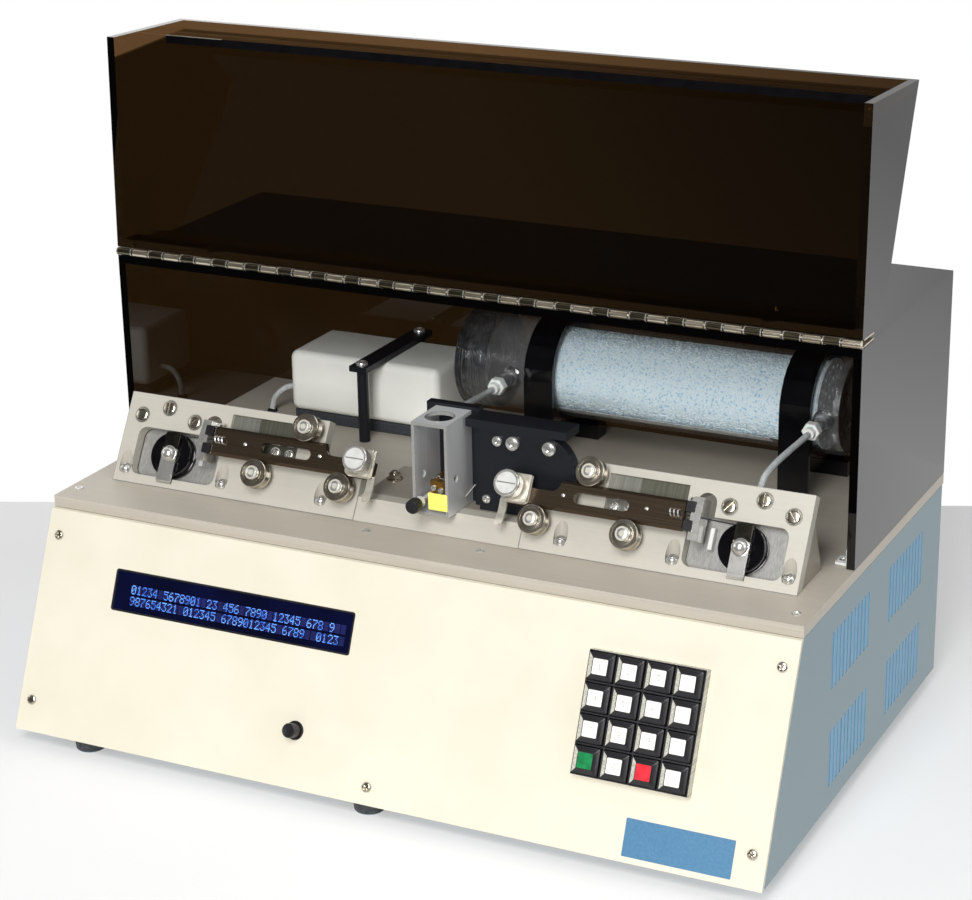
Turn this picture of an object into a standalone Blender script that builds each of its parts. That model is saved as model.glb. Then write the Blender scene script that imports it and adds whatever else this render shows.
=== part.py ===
"""Micropipette puller for a laboratory bench, in metres, +Z up, +X to the right, -Y to the user.

The origin is the middle of the footprint, on the bench. The lid rests open, leaning back on its
bumpers, and both puller bars rest out on their stops.
"""

import math

import bmesh
import bpy
from mathutils import Matrix, Vector

# Clearances
GAP = 0.0003                    # between pieces that touch
RUNNING = 0.0003                # round a shaft or a sliding piece, on the radius
OVERLAP = 0.0005                # how far joined shapes reach into each other
REACH = 0.002                   # how far a cutter runs past the face it opens

# Cabinet
WIDTH = 0.5334
DEPTH = 0.344
FOOT_HEIGHT = 0.012
FOOT_RADIUS = 0.011
CABINET_HEIGHT = 0.1378         # bottom edge of the front panel to the underside of the top plate
FRONT_SETBACK = 0.0592          # top edge of the front panel behind its bottom edge
PANEL_THICKNESS = 0.003
SHEET = 0.0025                  # wall of the cabinet shell
REAR_INSET = 0.0025             # rear wall inside the rear edge of the top plate
PLATE_THICKNESS = 0.0077
PLATE_SETBACK = 0.0031          # front edge of the top plate behind the top of the panel
PAN_THICKNESS = 0.002
PAN_LIP = 0.010
FRONT_FEET = ((-0.219, 0.018), (-0.006, 0.018), (0.219, 0.062))   # x, distance from the front
REAR_FOOT_X = 0.219
REAR_FOOT_FROM_BACK = 0.024

# Vents in both side walls: two columns and two rows of upright slots
VENT_FRONT_COLUMN = 0.1515      # centre of a column, from the front
VENT_REAR_COLUMN = 0.0800       # and from the back
VENT_ROWS = (0.0450, 0.1120)     # centre of each row, above the bench
VENT_HEIGHT = 0.038
VENT_SLOTS = 11
VENT_PITCH = 0.0068
VENT_SLOT_WIDTH = 0.0030

# Front panel: x from the middle, up the slope from the bottom edge
WINDOW_AT = (-0.1178, 0.1040)
WINDOW_SIZE = (0.180, 0.027)
WINDOW_RECESS = 0.0004
DISPLAY_MARGIN = 0.007
DISPLAY_DEPTH = 0.016
KEYPAD_AT = (0.1755, 0.0848)
KEY_ROWS = 4
KEY_COLUMNS = 4
KEY_PITCH = 0.01905
KEY_SKIRT = 0.0174              # side of a key at the keypad's face
KEY_TOP = 0.0114                # side of its top
KEY_RISE = 0.0036               # top of a key over the keypad's face
KEY_SEAT = 0.0040               # skirt of a key below the keypad's face
KEY_TRAVEL = 0.0030
KEYPAD_PROUD = 0.0065
KEYPAD_BASE = 0.0030
RESET_AT = (-0.0570, 0.0370)
RESET_RADIUS = 0.00475
RESET_PROUD = 0.0090
RESET_FLANGE = 0.0018
RESET_FLANGE_RADIUS = 0.0070
RESET_TRAVEL = 0.0030

# Rear panel fittings
INLET_AT = (-0.170, 0.060)      # x, height above the bench
INLET_SIZE = (0.050, 0.028)
INLET_DEPTH = 0.030
INLET_FLANGE = 0.0022
SWITCH_SIZE = (0.0130, 0.0190)
SWITCH_OFFSET = 0.0135          # centre of the rocker from the centre of the inlet
SWITCH_DEPTH = 0.0090
SWITCH_TILT = math.radians(9)

# Inside the cabinet
TRANSFORMER_AT = (-0.165, 0.109)  # x, distance from the back
TRANSFORMER_CORE = (0.100, 0.050, 0.085)
TRANSFORMER_COIL = (0.062, 0.084, 0.056)
BOARD_AT = (0.150, 0.129)       # x, distance from the back
BOARD_SIZE = (0.170, 0.150, 0.0016)
STANDOFF_HEIGHT = 0.010
STANDOFF_RADIUS = 0.004
STANDOFF_INSET = 0.008
SOLENOID_AT = (0.0, 0.150)
SOLENOID_SIZE = (0.060, 0.052, 0.068)
PLUNGER_RADIUS = 0.0095
PLUNGER_DEPTH = 0.045           # plunger in the solenoid at rest
PLUNGER_PROUD = 0.020
YOKE_SIZE = (0.050, 0.014, 0.006)

# Puller plates: u is out from the middle, s up the face, w out of the face
PULLER_FROM_FRONT = 0.1027
PULLER_LEAN = math.radians(30.5)
PULLER_INNER = 0.0600
PULLER_HEIGHT = 0.0625
PULLER_THICKNESS = 0.0080
NOTCH_TO = 0.0925               # the inner upper corner is cut back to here
NOTCH_FROM = 0.0300
INNER_GUSSET = 0.125
OUTER_GUSSET_INSET = 0.0045
GUSSET_WIDTH = 0.008
GUSSET_HEIGHT = 0.048
GUSSET_FOOT = 0.046
INNER_FOOT_SCREW = 0.087
FOOT_SCREW_INSET = 0.0068       # middle screw inside the bar's end
OUTER_SCREW_INSET = 0.0075      # outer screw inside the plate's end
FOOT_SCREW_BACK = 0.0066
FOOT_SCREW_FLOOR = 0.0055
FOOT_SCREW_RADIUS = 0.0048
RECESS_FROM = 0.1120
RECESS_INSET = 0.0043           # its end inside the bar's end
RECESS_S = (0.0300, 0.0570)
RECESS_DEPTH = 0.0020

# Puller bars and the V wheels that they run in
BAR_S = 0.0362
BAR_W = 0.0090
BAR_HALF_HEIGHT = 0.0098
BAR_HALF_THICKNESS = 0.0024
BAR_V_DEPTH = 0.0019
BAR_INNER = 0.0450
BAR_OUTER = 0.1703
BAR_STEP_U = 0.0850
BAR_STEP_S = 0.0382
BAR_STEP_FILLET = 0.0060
BAR_SLOT = (0.0950, 0.1330)
BAR_SLOT_WIDTH = 0.0072
BAR_TRAVEL = 0.0260
WHEEL_UPPER_U = 0.1028
WHEEL_LOWER_US = (0.0703, 0.1336)
WHEEL_RADIUS = 0.0095
WHEEL_HALF_WIDTH = 0.0043
WHEEL_CLEARANCE = 0.0004        # tip of the bar's edge to the bottom of the groove
WHEEL_BORE = 0.0027
SHOULDER_RADIUS = 0.0042
SCREW_HEAD_RADIUS = 0.0046
SCREW_HEAD_HEIGHT = 0.0020

# Clamp at the inner end of each bar
CLAMP_U = 0.0563
CLAMP_SIDE = 0.0190
CLAMP_THICKNESS = 0.0042
CLAMP_KNOB_AT = (0.0545, 0.0369)
CLAMP_KNOB_RADIUS = 0.0087
CLAMP_KNOB_HEIGHT = 0.0112
CLAMP_STEM_RADIUS = 0.0025
CLAMP_STEM_DEPTH = 0.0050
FINGER_U = 0.0480
FINGER_WIDTH = 0.0052
FINGER_THICKNESS = 0.0015
FINGER_BACK = 0.0018            # how far it sets back before it curves out
FINGER_OUT = 0.0035             # how far its tip stands out again
FINGER_LENGTH = 0.0175

# Pulleys, their straps and the outer stops
PULLEY_PAST_BAR = 0.0365        # axle of the pulley past the bar's end
PULLEY_S = 0.0233
PULLEY_RADIUS = 0.0153
PULLEY_GROOVE = 0.0135
PULLEY_WIDTH = 0.0092
PULLEY_FRONT = 0.0006
POCKET_INSET = 0.0008           # pocket inside the bar's end
POCKET_PAST_PULLEY = 0.0287     # and past the axle of the pulley
PLATE_PAST_PULLEY = 0.0407
POCKET_S = (0.0065, 0.0395)
POCKET_CORNER = 0.0060
SLOT_PAST_BAR = 0.0087
SLOT_WIDTH = 0.0130
SLOT_TOP = 0.0540
STRAP_WIDTH = 0.0110
STRAP_THICKNESS = 0.0015
STRAP_FOOT = 0.0030
NUT_RADIUS = 0.0050
NUT_HEIGHT = 0.0042
STOP_WIDTH = 0.0062
STOP_S = (0.0220, 0.0490)
STOP_W = (-0.0020, 0.0105)
PAD_LENGTH = 0.0040
PAD_SIDE = 0.0060
CABLE_HOLE = (0.014, 0.018)

# Middle of the deck
DECK_HEIGHT = 0.0140            # top of the centre block over the plate
DECK_BACK = 0.1740
CHAMBER_WIDTH = 0.0254
CHAMBER_FRONT = 0.0993
CHAMBER_DEPTH = 0.0347
CHAMBER_HEIGHT = 0.0622
CHAMBER_WALL = 0.0020
CHAMBER_MOUTH_RADIUS = 0.0095
CHAMBER_MOUTH_BACK = 0.0155
GLASS_HOLE_RADIUS = 0.0028
GLASS_OUT = 0.0005              # axis of the glass in front of the face of the bars
HEATER_SIDE_LEFT = 0.0173       # left side of the filament block's body
HEATER_LEFT = 0.0236
HEATER_RIGHT = 0.0912
HEATER_FRONT = 0.1222
HEATER_PLATE = 0.0070
HEATER_BACK = 0.1410
HEATER_HEIGHT = 0.0560
HEATER_FILLET = 0.0220
HEATER_STEP_Z = 0.0285          # underside of the overhang over the plate of the puller
LEDGE_THICKNESS = 0.0050
LEDGE_LEFT = 0.0145
FLANGE_LEFT = -0.0197
FLANGE_RISE = 0.0018
JAW_WIDTH = 0.0100
JAW_HEIGHT = 0.0090
JAW_DROP = 0.0075               # middle of the jaws under the axis of the glass
JAW_TIP = 0.0020
CHAMBER_KNOB_X = -0.0066
CHAMBER_KNOB_Z = 0.0096         # over the centre block
CHAMBER_KNOB_RADIUS = 0.0047
CHAMBER_KNOB_LENGTH = 0.0080
CHAMBER_KNOB_STANDOFF = 0.0060
CHAMBER_STEM_RADIUS = 0.0016

# Drying canister and its two stands
CANISTER_LEFT = -0.0608
CANISTER_RIGHT = 0.2203
CANISTER_FROM_BACK = 0.0580
CANISTER_RISE = 0.0595          # axis of the canister over the plate
CANISTER_RADIUS = 0.0335
CANISTER_WALL = 0.0025
CANISTER_END = 0.0060
CAP_LENGTH = 0.0240
CAP_RIBS = 4
CAP_RIB = 0.0010
GRANULES = (-0.0010, 0.2030)
BAND_THICKNESS = 0.0030
BAND_WIDTH = 0.0215
STAND_LEFTS = (-0.0058, 0.1803)  # left side of each stand
STAND_FOOT = (0.0290, 0.0140, 0.0105)
FITTING_XS = (-0.0162, 0.2103)
FITTING_RADIUS = 0.0052
FITTING_BORE = 0.0014
FITTING_LENGTH = 0.0200
NUT_LENGTH = 0.0105
FITTING_NUT_RADIUS = 0.0064
HOSE_RADIUS = 0.0021
INLET_HOSE_FROM_FRONT = 0.1430

# Air pump
PUMP_LEFT = -0.1995
PUMP_SIZE = (0.1210, 0.0615, 0.0450)
PUMP_FROM_BACK = 0.0845         # its front face from the back of the cabinet
PUMP_ROUND = 0.0060
PAD_HEIGHT = 0.0075
PAD_INSET = 0.0015
BRACKET_X = -0.1277
BRACKET_WIDTH = 0.0140
BRACKET_THICKNESS = 0.0040
BRACKET_FROM_BACK = (0.1035, 0.0178)
BRACKET_ROD_RADIUS = 0.0040
BRACKET_END = 0.0065

# Rear cover, lid and hinge
ACRYLIC = 0.0055
COVER_FRONT = 0.1545
COVER_HEIGHT = 0.1433
KNUCKLE_RADIUS = 0.00275
KNUCKLE_WIDTH = 0.0127
KNUCKLE_PLAY = 0.0004
LEAF_THICKNESS = 0.0012
LEAF_WIDTH = 0.0220
PIN_RADIUS = 0.0009
LID_LEAN = math.radians(1.74)
LID_STRIP = 0.0372              # flat strip beside the hinge
LID_KINK = (0.0820, 0.1268)     # behind and above the hinge, with the lid open
LID_END = 0.0893                # free edge behind the hinge
LID_SEAT = 0.0008               # free edge over the plate, with the lid closed
LIP_DEPTH = 0.0220
LIP_INSET = 0.0070
BUMPER_RADIUS = 0.0050
BUMPER_X = 0.2000
BUMPER_BACK = 0.0280

# Places that follow from the sizes
FRONT = -DEPTH / 2
BACK = DEPTH / 2
RIGHT = WIDTH / 2
CABINET_TOP = FOOT_HEIGHT + CABINET_HEIGHT
PLATE_TOP = CABINET_TOP + PLATE_THICKNESS
SEAT = PLATE_TOP + GAP
PANEL_LEAN = math.atan2(FRONT_SETBACK, CABINET_HEIGHT)
PANEL_SLOPE = math.hypot(FRONT_SETBACK, CABINET_HEIGHT)
DECK_TOP = PLATE_TOP + DECK_HEIGHT
DECK_SEAT = DECK_TOP + GAP
COVER_TOP = SEAT + COVER_HEIGHT
HINGE_Y = FRONT + COVER_FRONT - GAP / 2
HINGE_Z = COVER_TOP + GAP + KNUCKLE_RADIUS
GROOVE_RADIUS = WHEEL_RADIUS - BAR_V_DEPTH
WHEEL_OFFSET = GROOVE_RADIUS + BAR_HALF_HEIGHT + WHEEL_CLEARANCE
PULLEY_U = BAR_OUTER + PULLEY_PAST_BAR
POCKET_U = (BAR_OUTER - POCKET_INSET, PULLEY_U + POCKET_PAST_PULLEY)
SLOT_U = BAR_OUTER + SLOT_PAST_BAR
PULLER_OUTER = PULLEY_U + PLATE_PAST_PULLEY
RECESS_U = (RECESS_FROM, BAR_OUTER - RECESS_INSET)
GUSSETS = (INNER_GUSSET, PULLER_OUTER - OUTER_GUSSET_INSET)
FOOT_SCREWS = (INNER_FOOT_SCREW, BAR_OUTER - FOOT_SCREW_INSET, PULLER_OUTER - OUTER_SCREW_INSET)
REAR_FEET = tuple((x, DEPTH - REAR_FOOT_FROM_BACK) for x in (-REAR_FOOT_X, REAR_FOOT_X))
VENT_COLUMNS = (VENT_FRONT_COLUMN, DEPTH - VENT_REAR_COLUMN)

COLOURS = {
    "cream_paint": ((0.86, 0.83, 0.68), 0.45, 0.0),
    "blue_paint": ((0.22, 0.30, 0.34), 0.45, 0.0),
    "brushed_plate": ((0.38, 0.34, 0.29), 0.45, 0.8),
    "machined_aluminium": ((0.60, 0.59, 0.56), 0.35, 0.9),
    "black_anodised": ((0.012, 0.013, 0.018), 0.40, 0.3),
    "black_plastic": ((0.010, 0.010, 0.011), 0.40, 0.0),
    "smoked_acrylic": ((0.035, 0.022, 0.010), 0.08, 0.0),
    "clear_plastic": ((0.60, 0.62, 0.62), 0.08, 0.0),
    "granules": ((0.42, 0.60, 0.80), 0.90, 0.0),
    "bar_steel": ((0.12, 0.085, 0.05), 0.30, 0.9),
    "bright_steel": ((0.62, 0.61, 0.58), 0.18, 1.0),
    "brass": ((0.55, 0.36, 0.12), 0.30, 1.0),
    "display_glass": ((0.004, 0.008, 0.05), 0.12, 0.0),
    "white_plastic": ((0.62, 0.64, 0.60), 0.45, 0.0),
    "tubing": ((0.70, 0.72, 0.72), 0.15, 0.0),
    "board_green": ((0.02, 0.16, 0.05), 0.50, 0.0),
    "transformer": ((0.16, 0.13, 0.08), 0.55, 0.2),
}


def clear_scene():
    for obj in list(bpy.data.objects):
        bpy.data.objects.remove(obj, do_unlink=True)
    for name in ("micropipette_puller", "shape_tools"):
        collection = bpy.data.collections.new(name)
        bpy.context.scene.collection.children.link(collection)


def material(name):
    """The Principled material of this name, made once from COLOURS."""
    found = bpy.data.materials.get(name)
    if found:
        return found
    colour, roughness, metallic = COLOURS[name]
    made = bpy.data.materials.new(name)
    made.use_nodes = True
    shader = made.node_tree.nodes["Principled BSDF"]
    shader.inputs["Base Color"].default_value = (*colour, 1.0)
    shader.inputs["Roughness"].default_value = roughness
    shader.inputs["Metallic"].default_value = metallic
    made.diffuse_color = (*colour, 1.0)
    return made


def place(obj, finish, frame):
    """Puts an object with the parts, or with the shape tools where it has no finish."""
    if finish:
        obj.data.materials.append(material(finish))
        bpy.data.collections["micropipette_puller"].objects.link(obj)
    else:
        obj.hide_render = True
        obj.display_type = "WIRE"
        bpy.data.collections["shape_tools"].objects.link(obj)
    obj.parent = frame
    return obj


def mesh_object(name, shape, finish=None, frame=None):
    """An object from a bmesh, with its faces turned outward."""
    bmesh.ops.recalc_face_normals(shape, faces=shape.faces)
    mesh = bpy.data.meshes.new(name)
    shape.to_mesh(mesh)
    shape.free()
    return place(bpy.data.objects.new(name, mesh), finish, frame)


def smooth(obj, angle=40):
    """Shades the round faces of an object smooth."""
    obj.data.shade_smooth()
    obj.data.set_sharp_from_angle(angle=math.radians(angle))
    return obj


def frame_at(name, location, tilt=0.0):
    """An empty that carries pieces; tilt turns it about X."""
    empty = bpy.data.objects.new(name, None)
    empty.location = location
    empty.rotation_euler = (tilt, 0.0, 0.0)
    empty.empty_display_size = 0.02
    bpy.data.collections["micropipette_puller"].objects.link(empty)
    return empty


def add_box(shape, low, high):
    """Adds a box to a bmesh, from its low corner to its high corner."""
    size = [b - a for a, b in zip(low, high)]
    middle = [(a + b) / 2 for a, b in zip(low, high)]
    matrix = Matrix.Translation(middle) @ Matrix.Diagonal((*size, 1.0))
    bmesh.ops.create_cube(shape, size=1.0, matrix=matrix)


def box(name, low, high, finish=None, frame=None):
    shape = bmesh.new()
    add_box(shape, low, high)
    return mesh_object(name, shape, finish, frame)


def boxes(name, corners, finish=None, frame=None):
    """One object of several boxes that don't touch, as a tool."""
    shape = bmesh.new()
    for low, high in corners:
        add_box(shape, low, high)
    return mesh_object(name, shape, finish, frame)


def add_rod(shape, start, end, radius, sides, end_radius=None):
    """Adds a round bar, or a cone, to a bmesh."""
    start, end = Vector(start), Vector(end)
    along = end - start
    turn = Vector((0, 0, 1)).rotation_difference(along.normalized()).to_matrix().to_4x4()
    matrix = Matrix.Translation((start + end) / 2) @ turn
    bmesh.ops.create_cone(
        shape, cap_ends=True, segments=sides, radius1=radius,
        radius2=radius if end_radius is None else end_radius, depth=along.length, matrix=matrix,
    )


def rod(name, start, end, radius, sides=24, finish=None, frame=None, end_radius=None):
    shape = bmesh.new()
    add_rod(shape, start, end, radius, sides, end_radius)
    return smooth(mesh_object(name, shape, finish, frame))


def turned(name, profile, finish=None, frame=None, location=(0, 0, 0), steps=24, closed=False,
           rotation=(0, 0, 0)):
    """A shape turned about the object's Z from (radius, height) points, top of the outside first."""
    mesh = bpy.data.meshes.new(name)
    count = len(profile)
    edges = [(i, (i + 1) % count) for i in range(count if closed else count - 1)]
    mesh.from_pydata([(radius, 0.0, height) for radius, height in profile], edges, [])
    obj = place(bpy.data.objects.new(name, mesh), finish, frame)
    obj.location = location
    obj.rotation_euler = rotation
    screw = obj.modifiers.new("turn", "SCREW")
    screw.steps = steps
    screw.render_steps = steps
    screw.use_merge_vertices = True
    screw.merge_threshold = 0.00001
    screw.use_smooth_shade = steps > 8
    return obj


# Where an outline's two directions and its depth lie: along X from (y, z), along Y from (x, z)
ALONG = {
    "X": Matrix(((0, 0, 1, 0), (1, 0, 0, 0), (0, 1, 0, 0), (0, 0, 0, 1))),
    "Y": Matrix(((1, 0, 0, 0), (0, 0, -1, 0), (0, 1, 0, 0), (0, 0, 0, 1))),
    "Z": Matrix.Identity(4),
}


def prism(name, outlines, start, end, along="X", finish=None, frame=None):
    """A flat outline, with any holes, given depth from start to end along an axis."""
    curve = bpy.data.curves.new(name + "_outline", "CURVE")
    curve.dimensions = "2D"
    curve.fill_mode = "BOTH"
    curve.extrude = abs(end - start) / 2
    for outline in outlines:
        spline = curve.splines.new("POLY")
        spline.points.add(len(outline) - 1)
        for point, (across, up) in zip(spline.points, outline):
            point.co = (across, up, 0.0, 1.0)
        spline.use_cyclic_u = True
    flat = bpy.data.objects.new(name + "_outline", curve)
    bpy.context.scene.collection.objects.link(flat)
    bpy.context.view_layer.update()
    mesh = bpy.data.meshes.new_from_object(flat.evaluated_get(bpy.context.evaluated_depsgraph_get()))
    bpy.data.objects.remove(flat, do_unlink=True)
    middle = (start + end) / 2
    depth_sign = -1 if along == "Y" else 1
    mesh.transform(ALONG[along] @ Matrix.Translation((0, 0, middle * depth_sign)))
    shape = bmesh.new()
    shape.from_mesh(mesh)
    bpy.data.meshes.remove(mesh)
    bmesh.ops.remove_doubles(shape, verts=shape.verts, dist=0.000001)
    return mesh_object(name, shape, finish, frame)


def arc(centre, radius, start, end, steps):
    """Points on an arc, from a start angle to an end angle in degrees."""
    turns = [math.radians(start + (end - start) * i / steps) for i in range(steps + 1)]
    return [(centre[0] + radius * math.cos(t), centre[1] + radius * math.sin(t)) for t in turns]


def rounded(low, high, radius, steps=5):
    """A rectangle with round corners."""
    (x0, y0), (x1, y1) = low, high
    return (
        arc((x1 - radius, y0 + radius), radius, -90, 0, steps)
        + arc((x1 - radius, y1 - radius), radius, 0, 90, steps)
        + arc((x0 + radius, y1 - radius), radius, 90, 180, steps)
        + arc((x0 + radius, y0 + radius), radius, 180, 270, steps)
    )


def inset(points, distance):
    """A line moved sideways by a distance, to the left of its direction, with its corners kept."""
    def normal(a, b):
        along = (Vector(b) - Vector(a)).normalized()
        return Vector((-along.y, along.x))

    moved = []
    for i, point in enumerate(points):
        sides = []
        if i > 0:
            sides.append(normal(points[i - 1], point))
        if i < len(points) - 1:
            sides.append(normal(point, points[i + 1]))
        bisector = sum(sides, Vector((0, 0))).normalized()
        moved.append(tuple(Vector(point) + bisector * (distance / bisector.dot(sides[0]))))
    return moved


def combine(obj, tool, operation):
    modifier = obj.modifiers.new(tool.name, "BOOLEAN")
    modifier.operation = operation
    modifier.solver = "EXACT"
    modifier.object = tool
    return obj


def cut(obj, tool):
    return combine(obj, tool, "DIFFERENCE")


def join(obj, tool):
    return combine(obj, tool, "UNION")


def soften(obj, width, segments=1, angle=50):
    """Rounds the sharp edges of an object."""
    modifier = obj.modifiers.new("edges", "BEVEL")
    modifier.width = width
    modifier.segments = segments
    modifier.limit_method = "ANGLE"
    modifier.angle_limit = math.radians(angle)
    return obj


def pipe(name, route, radius, finish, sides_resolution=2):
    """A hose along a smooth curve through the points of its route."""
    points = smooth_route(route, spacing=radius * 5)
    curve = bpy.data.curves.new(name, "CURVE")
    curve.dimensions = "3D"
    curve.bevel_depth = radius
    curve.bevel_resolution = sides_resolution
    curve.use_fill_caps = True
    spline = curve.splines.new("POLY")
    spline.points.add(len(points) - 1)
    for target, point in zip(spline.points, points):
        target.co = (*point, 1.0)
    return place(bpy.data.objects.new(name, curve), finish, None)


def smooth_route(route, spacing):
    """Points about one spacing apart along a smooth curve through the route."""
    knots = [Vector(point) for point in route]
    slopes = []
    for i, knot in enumerate(knots):
        before, after = knots[max(i - 1, 0)], knots[min(i + 1, len(knots) - 1)]
        slopes.append((after - before) / ((knot - before).length + (after - knot).length))
    points = [knots[0]]
    for a, b, leave, arrive in zip(knots, knots[1:], slopes, slopes[1:]):
        length = (b - a).length
        steps = max(2, round(length / spacing))
        for i in range(1, steps + 1):
            t = i / steps
            ease = t * t * (3 - 2 * t)
            pull = leave * t * (1 - t) ** 2 - arrive * t * t * (1 - t)
            points.append(a + (b - a) * ease + pull * length)
    return points


def span(side, near, far):
    """The low and high x of a piece on the right (side 1) or left (side -1) of the middle."""
    return tuple(sorted((side * near, side * far)))


def side_name(side):
    return "right" if side > 0 else "left"


# Cabinet

def panel_back(height, extra=GAP):
    """y of the back of the front panel at a height, plus a clearance."""
    rise = height - FOOT_HEIGHT
    return FRONT + rise * math.tan(PANEL_LEAN) + (PANEL_THICKNESS + extra) / math.cos(PANEL_LEAN)


def cabinet_shell():
    """One folded sheet: both side walls, with their vents, and the rear wall."""
    rear = BACK - REAR_INSET
    top = CABINET_TOP - GAP
    outline = [
        (panel_back(FOOT_HEIGHT), FOOT_HEIGHT),
        (panel_back(top), top),
        (rear, top),
        (rear, FOOT_HEIGHT),
    ]
    shell = prism("cabinet_shell", [outline], -RIGHT, RIGHT, "X", "blue_paint")
    inside = RIGHT - SHEET
    cut(shell, box("shell_inside", (-inside, FRONT - REACH, FOOT_HEIGHT - REACH),
                   (inside, rear - SHEET, top + REACH)))
    slots = []
    for column in VENT_COLUMNS:
        for row in VENT_ROWS:
            for i in range(VENT_SLOTS):
                y = FRONT + column + (i - (VENT_SLOTS - 1) / 2) * VENT_PITCH
                low = (-RIGHT - REACH, y - VENT_SLOT_WIDTH / 2, row - VENT_HEIGHT / 2)
                high = (RIGHT + REACH, y + VENT_SLOT_WIDTH / 2, row + VENT_HEIGHT / 2)
                slots.append((low, high))
    cut(shell, boxes("vent_slots", slots))
    x, z = INLET_AT
    half_width, half_height = INLET_SIZE[0] / 2, INLET_SIZE[1] / 2
    cut(shell, box("inlet_opening", (x - half_width, rear - SHEET - REACH, z - half_height),
                   (x + half_width, rear + REACH, z + half_height)))


def base_pan():
    """The floor tray, with the rubber feet under it and the board's standoffs on it."""
    side = RIGHT - SHEET - GAP
    front = panel_back(FOOT_HEIGHT + PAN_LIP, 2 * GAP)
    rear = BACK - REAR_INSET - SHEET - GAP
    floor = FOOT_HEIGHT + PAN_THICKNESS
    pan = box("base_pan", (-side, front, FOOT_HEIGHT), (side, rear, FOOT_HEIGHT + PAN_LIP), "blue_paint")
    cut(pan, box("pan_inside", (-side + PAN_THICKNESS, front + PAN_THICKNESS, floor),
                 (side - PAN_THICKNESS, rear - PAN_THICKNESS, floor + PAN_LIP)))
    shape = bmesh.new()
    for x, back in FRONT_FEET + REAR_FEET:
        add_rod(shape, (x, FRONT + back, 0), (x, FRONT + back, FOOT_HEIGHT + OVERLAP),
                FOOT_RADIUS * 0.88, 16, FOOT_RADIUS)
    join(pan, mesh_object("rubber_feet", shape))
    shape = bmesh.new()
    for x, y in standoff_places():
        add_rod(shape, (x, y, floor - OVERLAP), (x, y, floor + STANDOFF_HEIGHT), STANDOFF_RADIUS, 8)
    join(pan, mesh_object("standoffs", shape))


def standoff_places():
    x, from_back = BOARD_AT
    across = BOARD_SIZE[0] / 2 - STANDOFF_INSET
    along = BOARD_SIZE[1] / 2 - STANDOFF_INSET
    return [(x + i * across, BACK - from_back + j * along) for i in (-1, 1) for j in (-1, 1)]


def top_plate():
    front = FRONT + FRONT_SETBACK + PLATE_SETBACK
    plate = box("top_plate", (-RIGHT, front, CABINET_TOP), (RIGHT, BACK, PLATE_TOP), "brushed_plate")
    width, length = CABLE_HOLE
    y = FRONT + PULLER_FROM_FRONT + PULLER_THICKNESS / math.cos(PULLER_LEAN) + REACH
    holes = []
    for side in (-1, 1):
        x = side * (PULLEY_U + PULLEY_GROOVE)
        holes.append(((x - width / 2, y, CABINET_TOP - REACH),
                      (x + width / 2, y + length, PLATE_TOP + REACH)))
    cut(plate, boxes("cable_holes", holes))


def front_panel(frame):
    level_edge = PANEL_THICKNESS * math.tan(PANEL_LEAN)
    outline = [
        (0.0, 0.0),
        (PANEL_SLOPE - GAP, 0.0),
        (PANEL_SLOPE - GAP + level_edge, -PANEL_THICKNESS),
        (level_edge, -PANEL_THICKNESS),
    ]
    panel = prism("front_panel", [outline], -RIGHT, RIGHT, "X", "cream_paint", frame)
    openings = []
    half = [size / 2 for size in WINDOW_SIZE]
    openings.append((WINDOW_AT, half))
    keypad = [count * KEY_PITCH / 2 + GAP for count in (KEY_COLUMNS, KEY_ROWS)]
    openings.append((KEYPAD_AT, keypad))
    corners = [((x - a, s - b, -PANEL_THICKNESS - REACH), (x + a, s + b, REACH))
               for (x, s), (a, b) in openings]
    cut(panel, boxes("panel_openings", corners, frame=frame))
    x, s = RESET_AT
    cut(panel, rod("reset_hole", (x, s, -PANEL_THICKNESS - REACH), (x, s, REACH),
                   RESET_RADIUS + RUNNING, frame=frame))


def display_module(frame):
    """The display's window, with its board close behind the panel."""
    x, s = WINDOW_AT
    a, b = WINDOW_SIZE[0] / 2 - GAP, WINDOW_SIZE[1] / 2 - GAP
    module = box("display_module", (x - a, s - b, -PANEL_THICKNESS - REACH), (x + a, s + b, -WINDOW_RECESS),
                 "display_glass", frame)
    a, b = a + DISPLAY_MARGIN, b + DISPLAY_MARGIN
    join(module, box("display_board", (x - a, s - b, -DISPLAY_DEPTH),
                     (x + a, s + b, -PANEL_THICKNESS - GAP), frame=frame))


def keypad_frame(frame):
    """The keypad's housing, with a well for each key."""
    x, s = KEYPAD_AT
    a, b = KEY_COLUMNS * KEY_PITCH / 2, KEY_ROWS * KEY_PITCH / 2
    floor = KEYPAD_PROUD - KEY_SEAT - KEY_TRAVEL - RUNNING
    housing = box("keypad_frame", (x - a, s - b, floor - KEYPAD_BASE), (x + a, s + b, KEYPAD_PROUD),
                  "black_plastic", frame)
    half = KEY_SKIRT / 2 + RUNNING
    wells = [((kx - half, ks - half, floor), (kx + half, ks + half, KEYPAD_PROUD + REACH))
             for kx, ks in key_places().values()]
    cut(housing, boxes("key_wells", wells, frame=frame))


def key_places():
    """The centre of each key on the panel, by row and column from the top left."""
    places = {}
    for row in range(KEY_ROWS):
        for column in range(KEY_COLUMNS):
            x = KEYPAD_AT[0] + (column - (KEY_COLUMNS - 1) / 2) * KEY_PITCH
            s = KEYPAD_AT[1] + ((KEY_ROWS - 1) / 2 - row) * KEY_PITCH
            places[(row + 1, column + 1)] = (x, s)
    return places


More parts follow.
